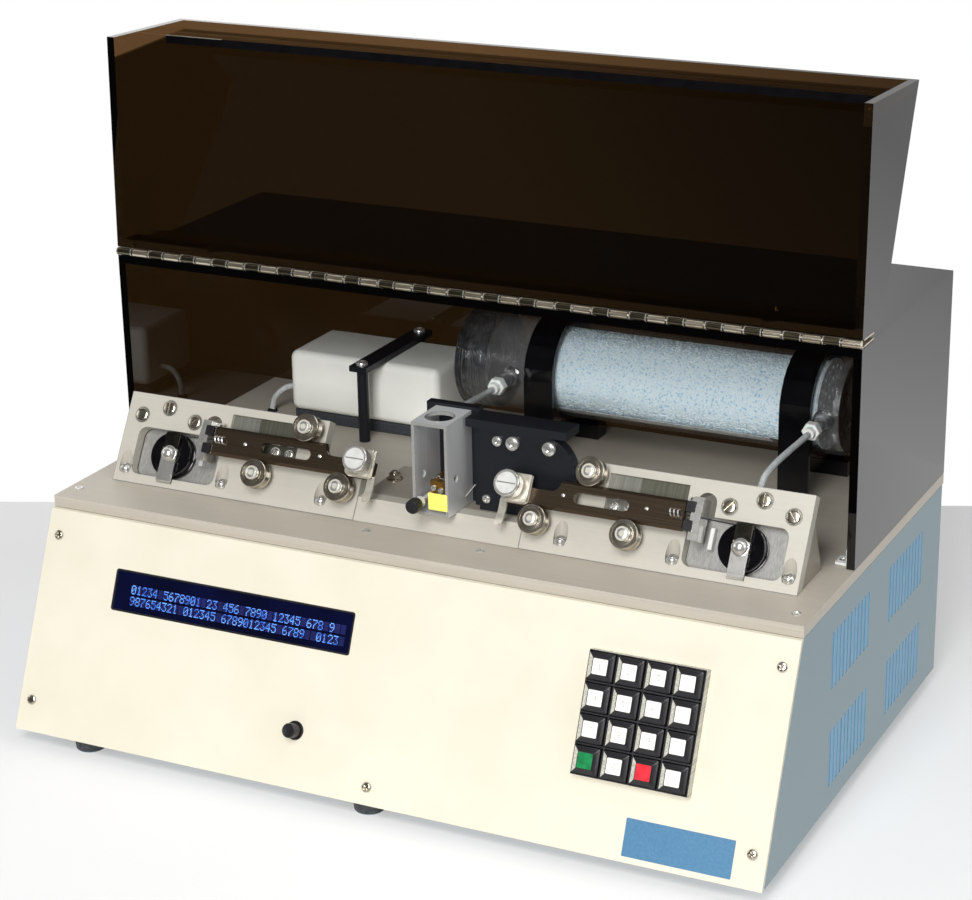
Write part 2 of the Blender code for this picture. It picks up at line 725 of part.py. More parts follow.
def keys(frame):
    """The keys: a square skirt with sloped sides up to a flat top."""
    corner = math.sqrt(2) / 2
    profile = [
        (0.0, KEY_RISE),
        (KEY_TOP * corner, KEY_RISE),
        (KEY_SKIRT * corner, 0.0),
        (KEY_SKIRT * corner, -KEY_SEAT),
        (0.0, -KEY_SEAT),
    ]
    for (row, column), (x, s) in key_places().items():
        turned(f"key_{row}_{column}", profile, "black_plastic", frame, (x, s, KEYPAD_PROUD), 4,
               rotation=(0, 0, math.radians(45)))


def reset_button(frame):
    x, s = RESET_AT
    back = -PANEL_THICKNESS - GAP
    edge = 0.0006
    profile = [
        (0.0, RESET_PROUD),
        (RESET_RADIUS - edge, RESET_PROUD),
        (RESET_RADIUS, RESET_PROUD - edge),
        (RESET_RADIUS, back),
        (RESET_FLANGE_RADIUS, back),
        (RESET_FLANGE_RADIUS, back - RESET_FLANGE),
        (0.0, back - RESET_FLANGE),
    ]
    turned("reset_button", profile, "black_plastic", frame, (x, s, 0))


def power_entry():
    """The mains inlet in the rear wall, with its rocker switch."""
    x, z = INLET_AT
    rear = BACK - REAR_INSET
    a, b = INLET_SIZE[0] / 2 - GAP, INLET_SIZE[1] / 2 - GAP
    face = rear + INLET_FLANGE
    inlet = box("power_inlet", (x - a, rear - INLET_DEPTH, z - b), (x + a, rear + GAP + OVERLAP, z + b),
                "black_plastic")
    margin = 0.004
    join(inlet, box("inlet_flange", (x - a - margin, rear + GAP, z - b - margin),
                    (x + a + margin, face, z + b + margin)))
    socket = (0.0115, 0.0085)
    left = x - SWITCH_OFFSET
    cut(inlet, box("inlet_socket", (left - socket[0], rear - INLET_DEPTH * 0.6, z - socket[1]),
                   (left + socket[0], face + REACH, z + socket[1])))
    pins = [((left + dx - 0.001, rear - INLET_DEPTH * 0.6 - OVERLAP, z + dz - 0.002),
             (left + dx + 0.001, rear - 0.004, z + dz + 0.002))
            for dx, dz in ((-0.007, -0.002), (0.0, 0.002), (0.007, -0.002))]
    join(inlet, boxes("inlet_pins", pins))
    right = x + SWITCH_OFFSET
    width, height = SWITCH_SIZE
    cut(inlet, box("switch_well", (right - width / 2 - RUNNING, face - SWITCH_DEPTH, z - height / 2 - RUNNING),
                   (right + width / 2 + RUNNING, face + REACH, z + height / 2 + RUNNING)))
    half = height / 2 - SWITCH_DEPTH * math.tan(SWITCH_TILT)
    outline = [
        (-SWITCH_DEPTH * 0.55, -half * 0.7),
        (0.0, -half),
        (-math.tan(SWITCH_TILT) * half, 0.0),
        (0.0, half),
        (-SWITCH_DEPTH * 0.55, half * 0.7),
    ]
    switch = prism("power_switch", [outline], -width / 2, width / 2, "X", "black_plastic")
    switch.location = (right, face - 3 * GAP, z)
    switch.rotation_euler = (SWITCH_TILT / 2, 0, 0)


def transformer():
    x, from_back = TRANSFORMER_AT
    y = BACK - from_back
    floor = FOOT_HEIGHT + PAN_THICKNESS + GAP
    core = [size / 2 for size in TRANSFORMER_CORE]
    coil = [size / 2 for size in TRANSFORMER_COIL]
    body = box("transformer", (x - core[0], y - core[1], floor), (x + core[0], y + core[1], floor + 2 * core[2]),
               "transformer")
    middle = floor + core[2]
    join(body, box("transformer_coil", (x - coil[0], y - coil[1], middle - coil[2]),
                   (x + coil[0], y + coil[1], middle + coil[2])))


def control_board():
    x, from_back = BOARD_AT
    y = BACK - from_back
    a, b, thickness = BOARD_SIZE[0] / 2, BOARD_SIZE[1] / 2, BOARD_SIZE[2]
    low = FOOT_HEIGHT + PAN_THICKNESS + STANDOFF_HEIGHT + GAP
    board = box("control_board", (x - a, y - b, low), (x + a, y + b, low + thickness), "board_green")
    top = low + thickness - OVERLAP
    parts = [((-0.070, -0.060), (0.012, 0.110), 0.030), ((-0.040, 0.020), (0.036, 0.014), 0.004),
             ((-0.040, -0.020), (0.036, 0.014), 0.004), ((0.030, 0.010), (0.022, 0.022), 0.026),
             ((0.030, -0.045), (0.050, 0.012), 0.009)]
    corners = []
    for (dx, dy), (width, length), height in parts:
        corners.append(((x + dx, y + dy, top), (x + dx + width, y + dy + length, top + height)))
    join(board, boxes("board_parts", corners))


def solenoid():
    """The pull solenoid and its plunger; the plunger's yoke takes both pull cables."""
    x, back = SOLENOID_AT
    y = FRONT + back
    a, b, height = SOLENOID_SIZE[0] / 2, SOLENOID_SIZE[1] / 2, SOLENOID_SIZE[2]
    floor = FOOT_HEIGHT + PAN_THICKNESS + GAP
    top = floor + height
    body = box("pull_solenoid", (x - a, y - b, floor), (x + a, y + b, top), "transformer")
    cut(body, rod("solenoid_bore", (x, y, top - PLUNGER_DEPTH - 2 * GAP), (x, y, top + REACH),
                  PLUNGER_RADIUS + RUNNING))
    plunger = rod("solenoid_plunger", (x, y, top - PLUNGER_DEPTH), (x, y, top + PLUNGER_PROUD), PLUNGER_RADIUS,
                  finish="bright_steel")
    c, d, rise = YOKE_SIZE[0] / 2, YOKE_SIZE[1] / 2, YOKE_SIZE[2]
    join(plunger, box("plunger_yoke", (x - c, y - d, top + PLUNGER_PROUD - OVERLAP),
                      (x + c, y + d, top + PLUNGER_PROUD + rise)))


# Puller plates

def level(back, height):
    """(s, w) on the puller frame of a point a distance behind its foot and at a height over it."""
    sine, cosine = math.sin(PULLER_LEAN), math.cos(PULLER_LEAN)
    return back * sine + height * cosine, height * sine - back * cosine


def puller_plate(side, frame):
    """A leaning plate with its gussets, wheel screws, pulley strap and outer stop."""
    name = side_name(side)
    foot = PULLER_THICKNESS / math.cos(PULLER_LEAN)
    outline = [(0, 0), (PULLER_HEIGHT, 0), (PULLER_HEIGHT, -PULLER_THICKNESS), level(foot, 0)]
    low, high = span(side, PULLER_INNER, PULLER_OUTER)
    plate = prism(f"puller_plate_{name}", [outline], low, high, "X", "machined_aluminium", frame)

    depth = -PULLER_THICKNESS - REACH
    low, high = span(side, PULLER_INNER - REACH, NOTCH_TO)
    cut(plate, box(f"notch_{name}", (low, NOTCH_FROM, depth * 2), (high, PULLER_HEIGHT + REACH, REACH),
                   frame=frame))
    pocket_low, pocket_high = span(side, *POCKET_U)
    pocket = rounded((pocket_low, POCKET_S[0]), (pocket_high, POCKET_S[1]), POCKET_CORNER)
    cut(plate, prism(f"pulley_pocket_{name}", [pocket], depth, REACH, "Z", frame=frame))
    slot_low, slot_high = span(side, SLOT_U - SLOT_WIDTH / 2, SLOT_U + SLOT_WIDTH / 2)
    slot = rounded((slot_low, POCKET_S[1] - SLOT_WIDTH), (slot_high, SLOT_TOP), SLOT_WIDTH / 2 * 0.98)
    cut(plate, prism(f"stop_slot_{name}", [slot], depth, REACH, "Z", frame=frame))
    low, high = span(side, *RECESS_U)
    cut(plate, box(f"recess_{name}", (low, RECESS_S[0], -RECESS_DEPTH), (high, RECESS_S[1], REACH),
                   frame=frame))
    shape = bmesh.new()
    for u in FOOT_SCREWS:
        floor = level(FOOT_SCREW_BACK, FOOT_SCREW_FLOOR)
        above = level(FOOT_SCREW_BACK, PULLER_HEIGHT)
        add_rod(shape, (side * u, *floor), (side * u, *above), FOOT_SCREW_RADIUS, 14)
    cut(plate, mesh_object(f"foot_screw_pockets_{name}", shape, frame=frame))

    for number, u in enumerate(GUSSETS, 1):
        low, high = span(side, u - GUSSET_WIDTH / 2, u + GUSSET_WIDTH / 2)
        start = foot - OVERLAP
        corner = level(start, 0)
        rib = [corner, (GUSSET_HEIGHT, corner[1]), level(GUSSET_FOOT, 0)]
        join(plate, prism(f"gusset_{name}_{number}", [rib], low, high, "X", frame=frame))
    for number, (u, s) in enumerate(wheel_places(), 1):
        join(plate, wheel_screw(f"wheel_screw_{name}_{number}", side * u, s, frame))
    join(plate, pulley_strap(side, frame))
    join(plate, pulley_axle(side, frame))
    join(plate, outer_stop(side, frame))


def wheel_places():
    """(u, s) of the wheels: the upper one first."""
    upper = [(WHEEL_UPPER_U, BAR_S + WHEEL_OFFSET)]
    return upper + [(u, BAR_S - WHEEL_OFFSET) for u in WHEEL_LOWER_US]


def wheel_screw(name, x, s, frame):
    """A shoulder screw: a boss under the wheel, a shank through it and a head over it."""
    under = BAR_W - WHEEL_HALF_WIDTH - GAP
    over = BAR_W + WHEEL_HALF_WIDTH + GAP
    shank = WHEEL_BORE - RUNNING
    profile = [
        (0.0, over + SCREW_HEAD_HEIGHT),
        (SCREW_HEAD_RADIUS, over + SCREW_HEAD_HEIGHT),
        (SCREW_HEAD_RADIUS, over),
        (shank, over),
        (shank, under),
        (SHOULDER_RADIUS, under),
        (SHOULDER_RADIUS, -RECESS_DEPTH - OVERLAP),
        (0.0, -RECESS_DEPTH - OVERLAP),
    ]
    return turned(name, profile, None, frame, (x, s, 0), 12)


def v_wheel(name, x, s, frame):
    """A wheel with a V groove, in which an edge of the bar runs."""
    half = WHEEL_HALF_WIDTH
    flank = BAR_HALF_THICKNESS
    profile = [
        (WHEEL_BORE, half),
        (WHEEL_RADIUS, half),
        (WHEEL_RADIUS, flank),
        (GROOVE_RADIUS, 0.0),
        (WHEEL_RADIUS, -flank),
        (WHEEL_RADIUS, -half),
        (WHEEL_BORE, -half),
    ]
    turned(name, profile, "bright_steel", frame, (x, s, BAR_W), 20, closed=True)


def pulley_strap(side, frame):
    """The strap that stands on the face under the pulley and reaches up to its axle."""
    name = side_name(side)
    x = side * PULLEY_U
    half = STRAP_WIDTH / 2
    under = PULLEY_FRONT + GAP
    low = POCKET_S[0] - STRAP_FOOT
    outline = [
        (low, -OVERLAP),
        (POCKET_S[0] - OVERLAP, -OVERLAP),
        (POCKET_S[0], under),
        (PULLEY_S, under),
        (PULLEY_S, under + STRAP_THICKNESS),
        (low + STRAP_FOOT / 2, under + STRAP_THICKNESS),
    ]
    strap = prism(f"pulley_strap_{name}", [outline], x - half, x + half, "X", frame=frame)
    return join(strap, rod(f"strap_end_{name}", (x, PULLEY_S, under), (x, PULLEY_S, under + STRAP_THICKNESS),
                           half, 20, frame=frame))


def pulley_axle(side, frame):
    """The pulley's axle, with a dome nut over the strap."""
    base = PULLEY_FRONT + GAP + STRAP_THICKNESS - OVERLAP
    dome = [(NUT_RADIUS * math.cos(t), base + NUT_HEIGHT * math.sin(t))
            for t in (math.radians(90 - 22.5 * i) for i in range(5))]
    shank = WHEEL_BORE - RUNNING
    profile = [(0.0, dome[0][1]), *dome[1:], (shank, base), (shank, PULLEY_FRONT - PULLEY_WIDTH - GAP),
               (0.0, PULLEY_FRONT - PULLEY_WIDTH - GAP)]
    return turned(f"pulley_axle_{side_name(side)}", profile, None, frame, (side * PULLEY_U, PULLEY_S, 0), 14)


def pulley(side, frame):
    """The cable pulley, with a round groove."""
    half = PULLEY_WIDTH / 2
    depth = PULLEY_RADIUS - PULLEY_GROOVE
    groove = [(PULLEY_RADIUS - depth * math.sin(math.radians(t)), half * 0.5 * math.cos(math.radians(t)))
              for t in (0, 60, 120, 180)]
    profile = [(WHEEL_BORE, half), (PULLEY_RADIUS, half), *groove, (PULLEY_RADIUS, -half), (WHEEL_BORE, -half)]
    turned(f"pulley_{side_name(side)}", profile, "black_plastic", frame,
           (side * PULLEY_U, PULLEY_S, PULLEY_FRONT - half), 24, closed=True)


def outer_stop(side, frame):
    """The clip in the slot that carries two pads, against which the bar's outer end rests."""
    face = BAR_OUTER + GAP
    inner = face + PAD_LENGTH
    shape = bmesh.new()
    low, high = span(side, inner, inner + STOP_WIDTH)
    add_box(shape, (low, STOP_S[0], STOP_W[0]), (high, STOP_S[1], STOP_W[1]))
    name = side_name(side)
    stop = mesh_object(f"outer_stop_{name}", shape, frame=frame)
    low, high = span(side, SLOT_U - SLOT_WIDTH / 2 - PAD_LENGTH, inner + OVERLAP)
    join(stop, box(f"stop_tab_{name}", (low, BAR_S + BAR_HALF_HEIGHT + REACH, -OVERLAP),
                   (high, STOP_S[1], BAR_W - BAR_HALF_THICKNESS - REACH), frame=frame))
    low, high = span(side, face, inner + OVERLAP)
    pads = [((low, BAR_S + middle - PAD_SIDE / 2, BAR_W - PAD_SIDE / 2),
             (high, BAR_S + middle + PAD_SIDE / 2, STOP_W[1] - OVERLAP))
            for middle in (-PAD_SIDE, PAD_SIDE)]
    join(stop, boxes(f"stop_pads_{name}", pads, frame=frame))
    return stop


def puller_bar(side, frame):
    """The sliding bar: V edges, a step down to the clamp, a clamp plate and a finger hook."""
    name = side_name(side)
    tip, flat = BAR_HALF_HEIGHT, BAR_HALF_HEIGHT - BAR_V_DEPTH
    half = BAR_HALF_THICKNESS
    section = [(-tip, 0), (-flat, -half), (flat, -half), (tip, 0), (flat, half), (-flat, half)]
    outline = [(BAR_S + s, BAR_W + w) for s, w in section]
    low, high = span(side, BAR_INNER, BAR_OUTER)
    bar = prism(f"puller_bar_{name}", [outline], low, high, "X", "bar_steel", frame)

    fillet = BAR_STEP_FILLET
    near, far = BAR_INNER - REACH, BAR_STEP_U
    step = [(near, BAR_STEP_S)] + arc((far - fillet, BAR_STEP_S + fillet), fillet, -90, 0, 5)
    step += [(far, BAR_S + tip + REACH), (near, BAR_S + tip + REACH)]
    back, front = BAR_W - half - REACH, BAR_W + half + REACH
    cut(bar, prism(f"bar_step_{name}", [[(side * u, s) for u, s in step]], back, front, "Z", frame=frame))
    slot_low, slot_high = span(side, *BAR_SLOT)
    slot = rounded((slot_low, BAR_S - BAR_SLOT_WIDTH / 2), (slot_high, BAR_S + BAR_SLOT_WIDTH / 2),
                   BAR_SLOT_WIDTH / 2 * 0.98, 4)
    cut(bar, prism(f"bar_slot_{name}", [slot], back, front, "Z", frame=frame))

    face = BAR_W + half
    clamp = CLAMP_SIDE / 2
    low, high = span(side, CLAMP_U - clamp, CLAMP_U + clamp)
    join(bar, box(f"clamp_plate_{name}", (low, BAR_S - clamp, face - OVERLAP),
                  (high, BAR_S + clamp, face + CLAMP_THICKNESS), frame=frame))
    join(bar, finger_hook(side, frame))
    low, high = span(side, BAR_OUTER - 0.012, BAR_OUTER - 0.001)
    join(bar, box(f"cable_clasp_{name}", (low, BAR_S - 0.0024, face - OVERLAP), (high, BAR_S + 0.0024, face + REACH),
                  frame=frame))
    floor = face + CLAMP_THICKNESS - CLAMP_STEM_DEPTH - GAP
    knob_u, knob_s = CLAMP_KNOB_AT
    cut(bar, rod(f"clamp_bore_{name}", (side * knob_u, knob_s, floor),
                 (side * knob_u, knob_s, face + CLAMP_THICKNESS + REACH), CLAMP_STEM_RADIUS + RUNNING, 16,
                 frame=frame))


def finger_hook(side, frame):
    """A strip that hangs from the clamp and curves out at its tip, to be pulled in with a finger."""
    top = BAR_S - BAR_HALF_HEIGHT + BAR_V_DEPTH + OVERLAP
    curve = []
    steps = 6
    for i in range(steps + 1):
        t = i / steps
        curve.append((top - FINGER_LENGTH * t, BAR_W - FINGER_BACK * t + (FINGER_BACK + FINGER_OUT) * t ** 3))
    outline = curve + inset(curve, FINGER_THICKNESS)[::-1]
    low, high = span(side, FINGER_U - FINGER_WIDTH / 2, FINGER_U + FINGER_WIDTH / 2)
    return prism(f"finger_hook_{side_name(side)}", [outline], low, high, "X", frame=frame)


def clamp_knob(side, frame):
    """The clamp's knob, with a chamfered rim and its screw in the clamp plate."""
    seat = BAR_W + BAR_HALF_THICKNESS + CLAMP_THICKNESS + GAP
    rim = 0.0009
    neck = CLAMP_KNOB_RADIUS * 0.8
    profile = [
        (0.0, CLAMP_KNOB_HEIGHT),
        (CLAMP_KNOB_RADIUS - rim, CLAMP_KNOB_HEIGHT),
        (CLAMP_KNOB_RADIUS, CLAMP_KNOB_HEIGHT - rim),
        (CLAMP_KNOB_RADIUS, 0.0025),
        (neck, 0.0018),
        (neck, 0.0),
        (CLAMP_STEM_RADIUS, 0.0),
        (CLAMP_STEM_RADIUS, -CLAMP_STEM_DEPTH),
        (0.0, -CLAMP_STEM_DEPTH),
    ]
    turned(f"clamp_knob_{side_name(side)}", profile, "bright_steel", frame,
           (side * CLAMP_KNOB_AT[0], CLAMP_KNOB_AT[1], seat), 24)


def puller(side, frame):
    name = side_name(side)
    puller_plate(side, frame)
    puller_bar(side, frame)
    for number, (u, s) in enumerate(wheel_places(), 1):
        v_wheel(f"v_wheel_{name}_{number}", side * u, s, frame)
    pulley(side, frame)
    clamp_knob(side, frame)


# Middle of the deck

def glass_axis():
    """(y, z) of the axis of the glass between the clamps."""
    w = BAR_W + BAR_HALF_THICKNESS + GLASS_OUT
    sine, cosine = math.sin(PULLER_LEAN), math.cos(PULLER_LEAN)
    y = FRONT + PULLER_FROM_FRONT + BAR_S * sine - w * cosine
    return y, SEAT + BAR_S * cosine + w * sine


def centre_block():
    front = FRONT + PULLER_FROM_FRONT
    slope = DECK_HEIGHT * math.tan(PULLER_LEAN)
    half = PULLER_INNER - GAP
    outline = [(front, SEAT), (front + slope, DECK_TOP), (FRONT + DECK_BACK, DECK_TOP), (FRONT + DECK_BACK, SEAT)]
    prism("centre_block", [outline], -half, half, "X", "machined_aluminium")


def humidity_chamber():
    """A square tube open at the front and back, with a mouth in its top and a hole in each side."""
    half = CHAMBER_WIDTH / 2
    front = FRONT + CHAMBER_FRONT
    back = front + CHAMBER_DEPTH
    top = DECK_SEAT + CHAMBER_HEIGHT
    wall = CHAMBER_WALL
    tube = box("humidity_chamber", (-half, front, DECK_SEAT), (half, back, top), "machined_aluminium")
    cut(tube, box("chamber_inside", (-half + wall, front - REACH, DECK_SEAT + wall),
                  (half - wall, back + REACH, top - wall)))
    mouth_y = front + CHAMBER_MOUTH_BACK
    cut(tube, rod("chamber_mouth", (0, mouth_y, top - wall - REACH), (0, mouth_y, top + REACH),
                  CHAMBER_MOUTH_RADIUS))
    y, z = glass_axis()
    cut(tube, rod("glass_holes", (-half - REACH, y, z), (half + REACH, y, z), GLASS_HOLE_RADIUS, 16))


def filament_block():
    """The black block beside and behind the chamber, with its ledge and its round-cornered plate."""
    front = FRONT + HEATER_FRONT
    middle = front + HEATER_PLATE
    back = FRONT + HEATER_BACK
    top = DECK_SEAT + HEATER_HEIGHT
    step = PLATE_TOP + HEATER_STEP_Z
    fillet = HEATER_FILLET
    corner = (HEATER_RIGHT - fillet, top - fillet)
    outline = [(HEATER_LEFT, DECK_SEAT), (PULLER_INNER - GAP * 2, DECK_SEAT), (PULLER_INNER - GAP * 2, step),
               (HEATER_RIGHT, step)]
    outline += arc(corner, fillet, 0, 90, 8)
    outline += [(HEATER_LEFT, top)]
    block = prism("filament_block", [outline], front, middle, "Y", "black_anodised")
    body_right = PULLER_INNER - GAP * 2
    join(block, box("heater_body", (HEATER_SIDE_LEFT, middle - OVERLAP, DECK_SEAT), (body_right, back, top - OVERLAP)))
    join(block, box("heater_ledge", (LEDGE_LEFT, front - OVERLAP, top - OVERLAP),
                    (HEATER_RIGHT - fillet / 4, back, top + LEDGE_THICKNESS)))
    chamber_back = FRONT + CHAMBER_FRONT + CHAMBER_DEPTH + GAP
    flange_top = DECK_SEAT + CHAMBER_HEIGHT + FLANGE_RISE
    join(block, box("heater_flange", (FLANGE_LEFT, chamber_back, DECK_SEAT),
                    (HEATER_SIDE_LEFT + OVERLAP, back, flange_top)))


def heater_jaws():
    """The brass jaws that reach from the flange to the filament in the chamber."""
    y, z = glass_axis()
    back = FRONT + CHAMBER_FRONT + CHAMBER_DEPTH
    low, high = z - JAW_DROP - JAW_HEIGHT / 2, z - JAW_DROP + JAW_HEIGHT / 2
    half = JAW_WIDTH / 2
    jaws = box("heater_jaws", (-half, y - JAW_TIP, low), (half, back, high), "brass")
    tip = 0.0016
    posts = [((-half, y - JAW_TIP, high - OVERLAP), (-half + tip, y + JAW_TIP, z - GLASS_HOLE_RADIUS)),
             ((half - tip, y - JAW_TIP, high - OVERLAP), (half, y + JAW_TIP, z - GLASS_HOLE_RADIUS))]
    join(jaws, boxes("jaw_posts", posts))


def chamber_knob():
    """The knurled knob in front of the chamber, on a stem that reaches back to the flange."""
    chamber_front = FRONT + CHAMBER_FRONT
    length = CHAMBER_KNOB_STANDOFF + CHAMBER_DEPTH
    collar = CHAMBER_KNOB_RADIUS * 0.62
    profile = [
        (0.0, length + CHAMBER_KNOB_LENGTH),
        (CHAMBER_KNOB_RADIUS - 0.0006, length + CHAMBER_KNOB_LENGTH),
        (CHAMBER_KNOB_RADIUS, length + CHAMBER_KNOB_LENGTH - 0.0006),
        (CHAMBER_KNOB_RADIUS, length),
        (collar, length),
        (collar, length - 0.0035),
        (CHAMBER_STEM_RADIUS, length - 0.0035),
        (CHAMBER_STEM_RADIUS, 0.0),
        (0.0, 0.0),
    ]
    turned("chamber_knob", profile, "black_plastic", None,
           (CHAMBER_KNOB_X, chamber_front + CHAMBER_DEPTH, DECK_TOP + CHAMBER_KNOB_Z), 16,
           rotation=(math.radians(90), 0, 0))


# Drying canister, stands and hoses

def canister_axis():
    return BACK - CANISTER_FROM_BACK, PLATE_TOP + CANISTER_RISE


def canister():
    """A clear tube with a ribbed cap on its left end and a hose fitting near each end."""
    y, z = canister_axis()
    length = CANISTER_RIGHT - CANISTER_LEFT
    outer, inner = CANISTER_RADIUS, CANISTER_RADIUS - CANISTER_WALL
    ribs = []
    pitch = CAP_LENGTH / CAP_RIBS
    for i in range(CAP_RIBS):
        top = length - i * pitch
        ribs += [(outer + CAP_RIB, top), (outer + CAP_RIB, top - pitch * 0.6), (outer, top - pitch * 0.75)]
    profile = [(0.0, length), *ribs, (outer, 0.0), (0.0, 0.0)]
    tube = turned("canister", profile, "clear_plastic", None, (CANISTER_RIGHT, y, z), 28,
                  rotation=(0, math.radians(-90), 0))
    cut(tube, rod("canister_inside", (CANISTER_LEFT + CANISTER_END, y, z), (CANISTER_RIGHT - CANISTER_END, y, z),
                  inner, 28))
    for number, x in enumerate(FITTING_XS, 1):
        wall = y - inner - CANISTER_WALL / 2
        body = y - outer - FITTING_LENGTH
        fitting = rod(f"fitting_{number}", (x, wall, z), (x, body, z), FITTING_RADIUS, 16)
        join(fitting, rod(f"fitting_nut_{number}", (x, body + OVERLAP, z), (x, body - NUT_LENGTH, z),
                          FITTING_NUT_RADIUS, 6))
        join(tube, fitting)
        cut(tube, rod(f"fitting_bore_{number}", (x, y - inner + REACH, z), (x, body - NUT_LENGTH - REACH, z),
                      FITTING_BORE, 8))


def fitting_mouth(x):
    """The face of a fitting's nut, where its hose starts."""
    y, z = canister_axis()
    return x, y - CANISTER_RADIUS - FITTING_LENGTH - NUT_LENGTH - GAP, z


def desiccant():
    y, z = canister_axis()
    rod("desiccant", (GRANULES[0], y, z), (GRANULES[1], y, z), CANISTER_RADIUS - CANISTER_WALL - GAP, 28,
        finish="granules")


def canister_stand(name, left):
    """A strap round the canister, with a leg down its front and one down its back to a foot."""
    y, z = canister_axis()
    inner = CANISTER_RADIUS + GAP
    outer = inner + BAND_THICKNESS
    right = left + BAND_WIDTH
    ring = [arc((y, z), radius, 0, 360, 28)[:-1] for radius in (outer, inner)]
    stand = prism(name, ring, left, right, "X", "black_plastic")
    join(stand, box(name + "_front_leg", (left, y - outer, SEAT), (right, y - inner, z)))
    join(stand, box(name + "_back_leg", (left, y + inner, SEAT), (right, y + outer, z)))
    width, length, height = STAND_FOOT
    join(stand, box(name + "_foot", (left, y + outer - length, SEAT), (left + width, y + outer, SEAT + height)))


def hoses():
    """The outlet hose to the chamber's flange, and the inlet hose down behind the puller plate."""
    x, y, z = fitting_mouth(FITTING_XS[0])
    port = (-0.0007, FRONT + HEATER_BACK + GAP, DECK_SEAT + CHAMBER_HEIGHT - 0.0035)
    outlet = [(x, y, z), (x, y - 0.005, z), (port[0], port[1] + 0.005, port[2]), port]
    pipe("outlet_hose", outlet, HOSE_RADIUS, "tubing")
    x, y, z = fitting_mouth(FITTING_XS[1])
    end_x, end_y = x - 0.006, FRONT + INLET_HOSE_FROM_FRONT
    inlet = [
        (x, y, z),
        (x, y - 0.005, z),
        (end_x, end_y + 0.020, z - 0.0075),
        (end_x, end_y + 0.0045, z - 0.019),
        (end_x, end_y, z - 0.034),
        (end_x, end_y, SEAT + 0.006),
        (end_x, end_y, SEAT),
    ]
    pipe("inlet_hose", inlet, HOSE_RADIUS, "tubing")


# Air pump

def air_pump():
    """The pump's case, with round edges, on its foam pad."""
    width, depth, height = PUMP_SIZE
    low = (PUMP_LEFT, BACK - PUMP_FROM_BACK, SEAT + PAD_HEIGHT)
    high = (PUMP_LEFT + width, BACK - PUMP_FROM_BACK + depth, SEAT + PAD_HEIGHT + height)
    case = soften(box("air_pump", low, high, "white_plastic"), PUMP_ROUND, 3)
    pad = box("pump_pad", (low[0] + PAD_INSET, low[1] + PAD_INSET, SEAT),
              (high[0] - PAD_INSET, high[1] - PAD_INSET, SEAT + PAD_HEIGHT + OVERLAP))
    join(case, pad)


def pump_bracket():
    """The bar over the pump, held down by a rod in front of it and one behind it."""
    low = SEAT + PAD_HEIGHT + PUMP_SIZE[2] + GAP
    half = BRACKET_WIDTH / 2
    front, back = (BACK - place for place in BRACKET_FROM_BACK)
    bar = box("pump_bracket", (BRACKET_X - half, front - BRACKET_END, low),
              (BRACKET_X + half, back + BRACKET_END, low + BRACKET_THICKNESS), "black_anodised")
    for number, y in enumerate((front, back), 1):
        join(bar, rod(f"bracket_rod_{number}", (BRACKET_X, y, SEAT), (BRACKET_X, y, low + OVERLAP),
                      BRACKET_ROD_RADIUS, 16))


# Rear cover, lid and hinge

def rear_cover():
    """The smoked cover over the rear of the deck, open at the front and below."""
    front = FRONT + COVER_FRONT
    cover = box("rear_cover", (-RIGHT, front, SEAT), (RIGHT, BACK, COVER_TOP), "smoked_acrylic")
    cut(cover, box("cover_inside", (-RIGHT + ACRYLIC, front - REACH, SEAT - REACH),
                   (RIGHT - ACRYLIC, BACK - ACRYLIC, COVER_TOP - ACRYLIC)))


def knuckle_starts(first):
    """Left ends of every other knuckle, from the first or from the second."""
    count = int(WIDTH / KNUCKLE_WIDTH + 0.01)
    return [-RIGHT + i * KNUCKLE_WIDTH for i in range(first, count, 2)]


def hinge_leaf(name, first, sign, frame):
    """A leaf of the piano hinge, with tongues and round knuckles; sign puts it over or under the pin."""
    outer, inner = KNUCKLE_RADIUS * sign, (KNUCKLE_RADIUS - LEAF_THICKNESS) * sign
    low, high = sorted((inner, outer))
    clear = KNUCKLE_RADIUS + 2 * GAP
    leaf = box(name, (-RIGHT, clear, low), (RIGHT, LEAF_WIDTH, high), "bright_steel", frame)
    tongues = []
    shape = bmesh.new()
    for start in knuckle_starts(first):
        left, right = start + KNUCKLE_PLAY / 2, start + KNUCKLE_WIDTH - KNUCKLE_PLAY / 2
        tongues.append(((left, 0.0, low), (right, clear + OVERLAP, high)))
        add_rod(shape, (left, 0, 0), (right, 0, 0), KNUCKLE_RADIUS, 8)
    join(leaf, boxes(name + "_tongues", tongues, frame=frame))
    join(leaf, mesh_object(name + "_knuckles", shape, frame=frame))
    return leaf


def hinge():
    """The piano hinge: the cover's leaf carries the pin, and the lid's leaf turns on it."""
    fixed = frame_at("hinge_line", (0, HINGE_Y, HINGE_Z))
    opened = frame_at("lid_frame", (0, HINGE_Y, HINGE_Z), -LID_LEAN)
    cover_leaf = hinge_leaf("hinge_leaf_cover", 1, -1, fixed)
    ends = RIGHT - KNUCKLE_PLAY
    join(cover_leaf, rod("hinge_pin", (-ends, 0, 0), (ends, 0, 0), PIN_RADIUS, 8, frame=fixed))
    lid_leaf = hinge_leaf("hinge_leaf_lid", 0, 1, opened)
    cut(lid_leaf, rod("hinge_bore", (-RIGHT - REACH, 0, 0), (RIGHT + REACH, 0, 0), PIN_RADIUS + RUNNING, 8,
                      frame=opened))
    return opened


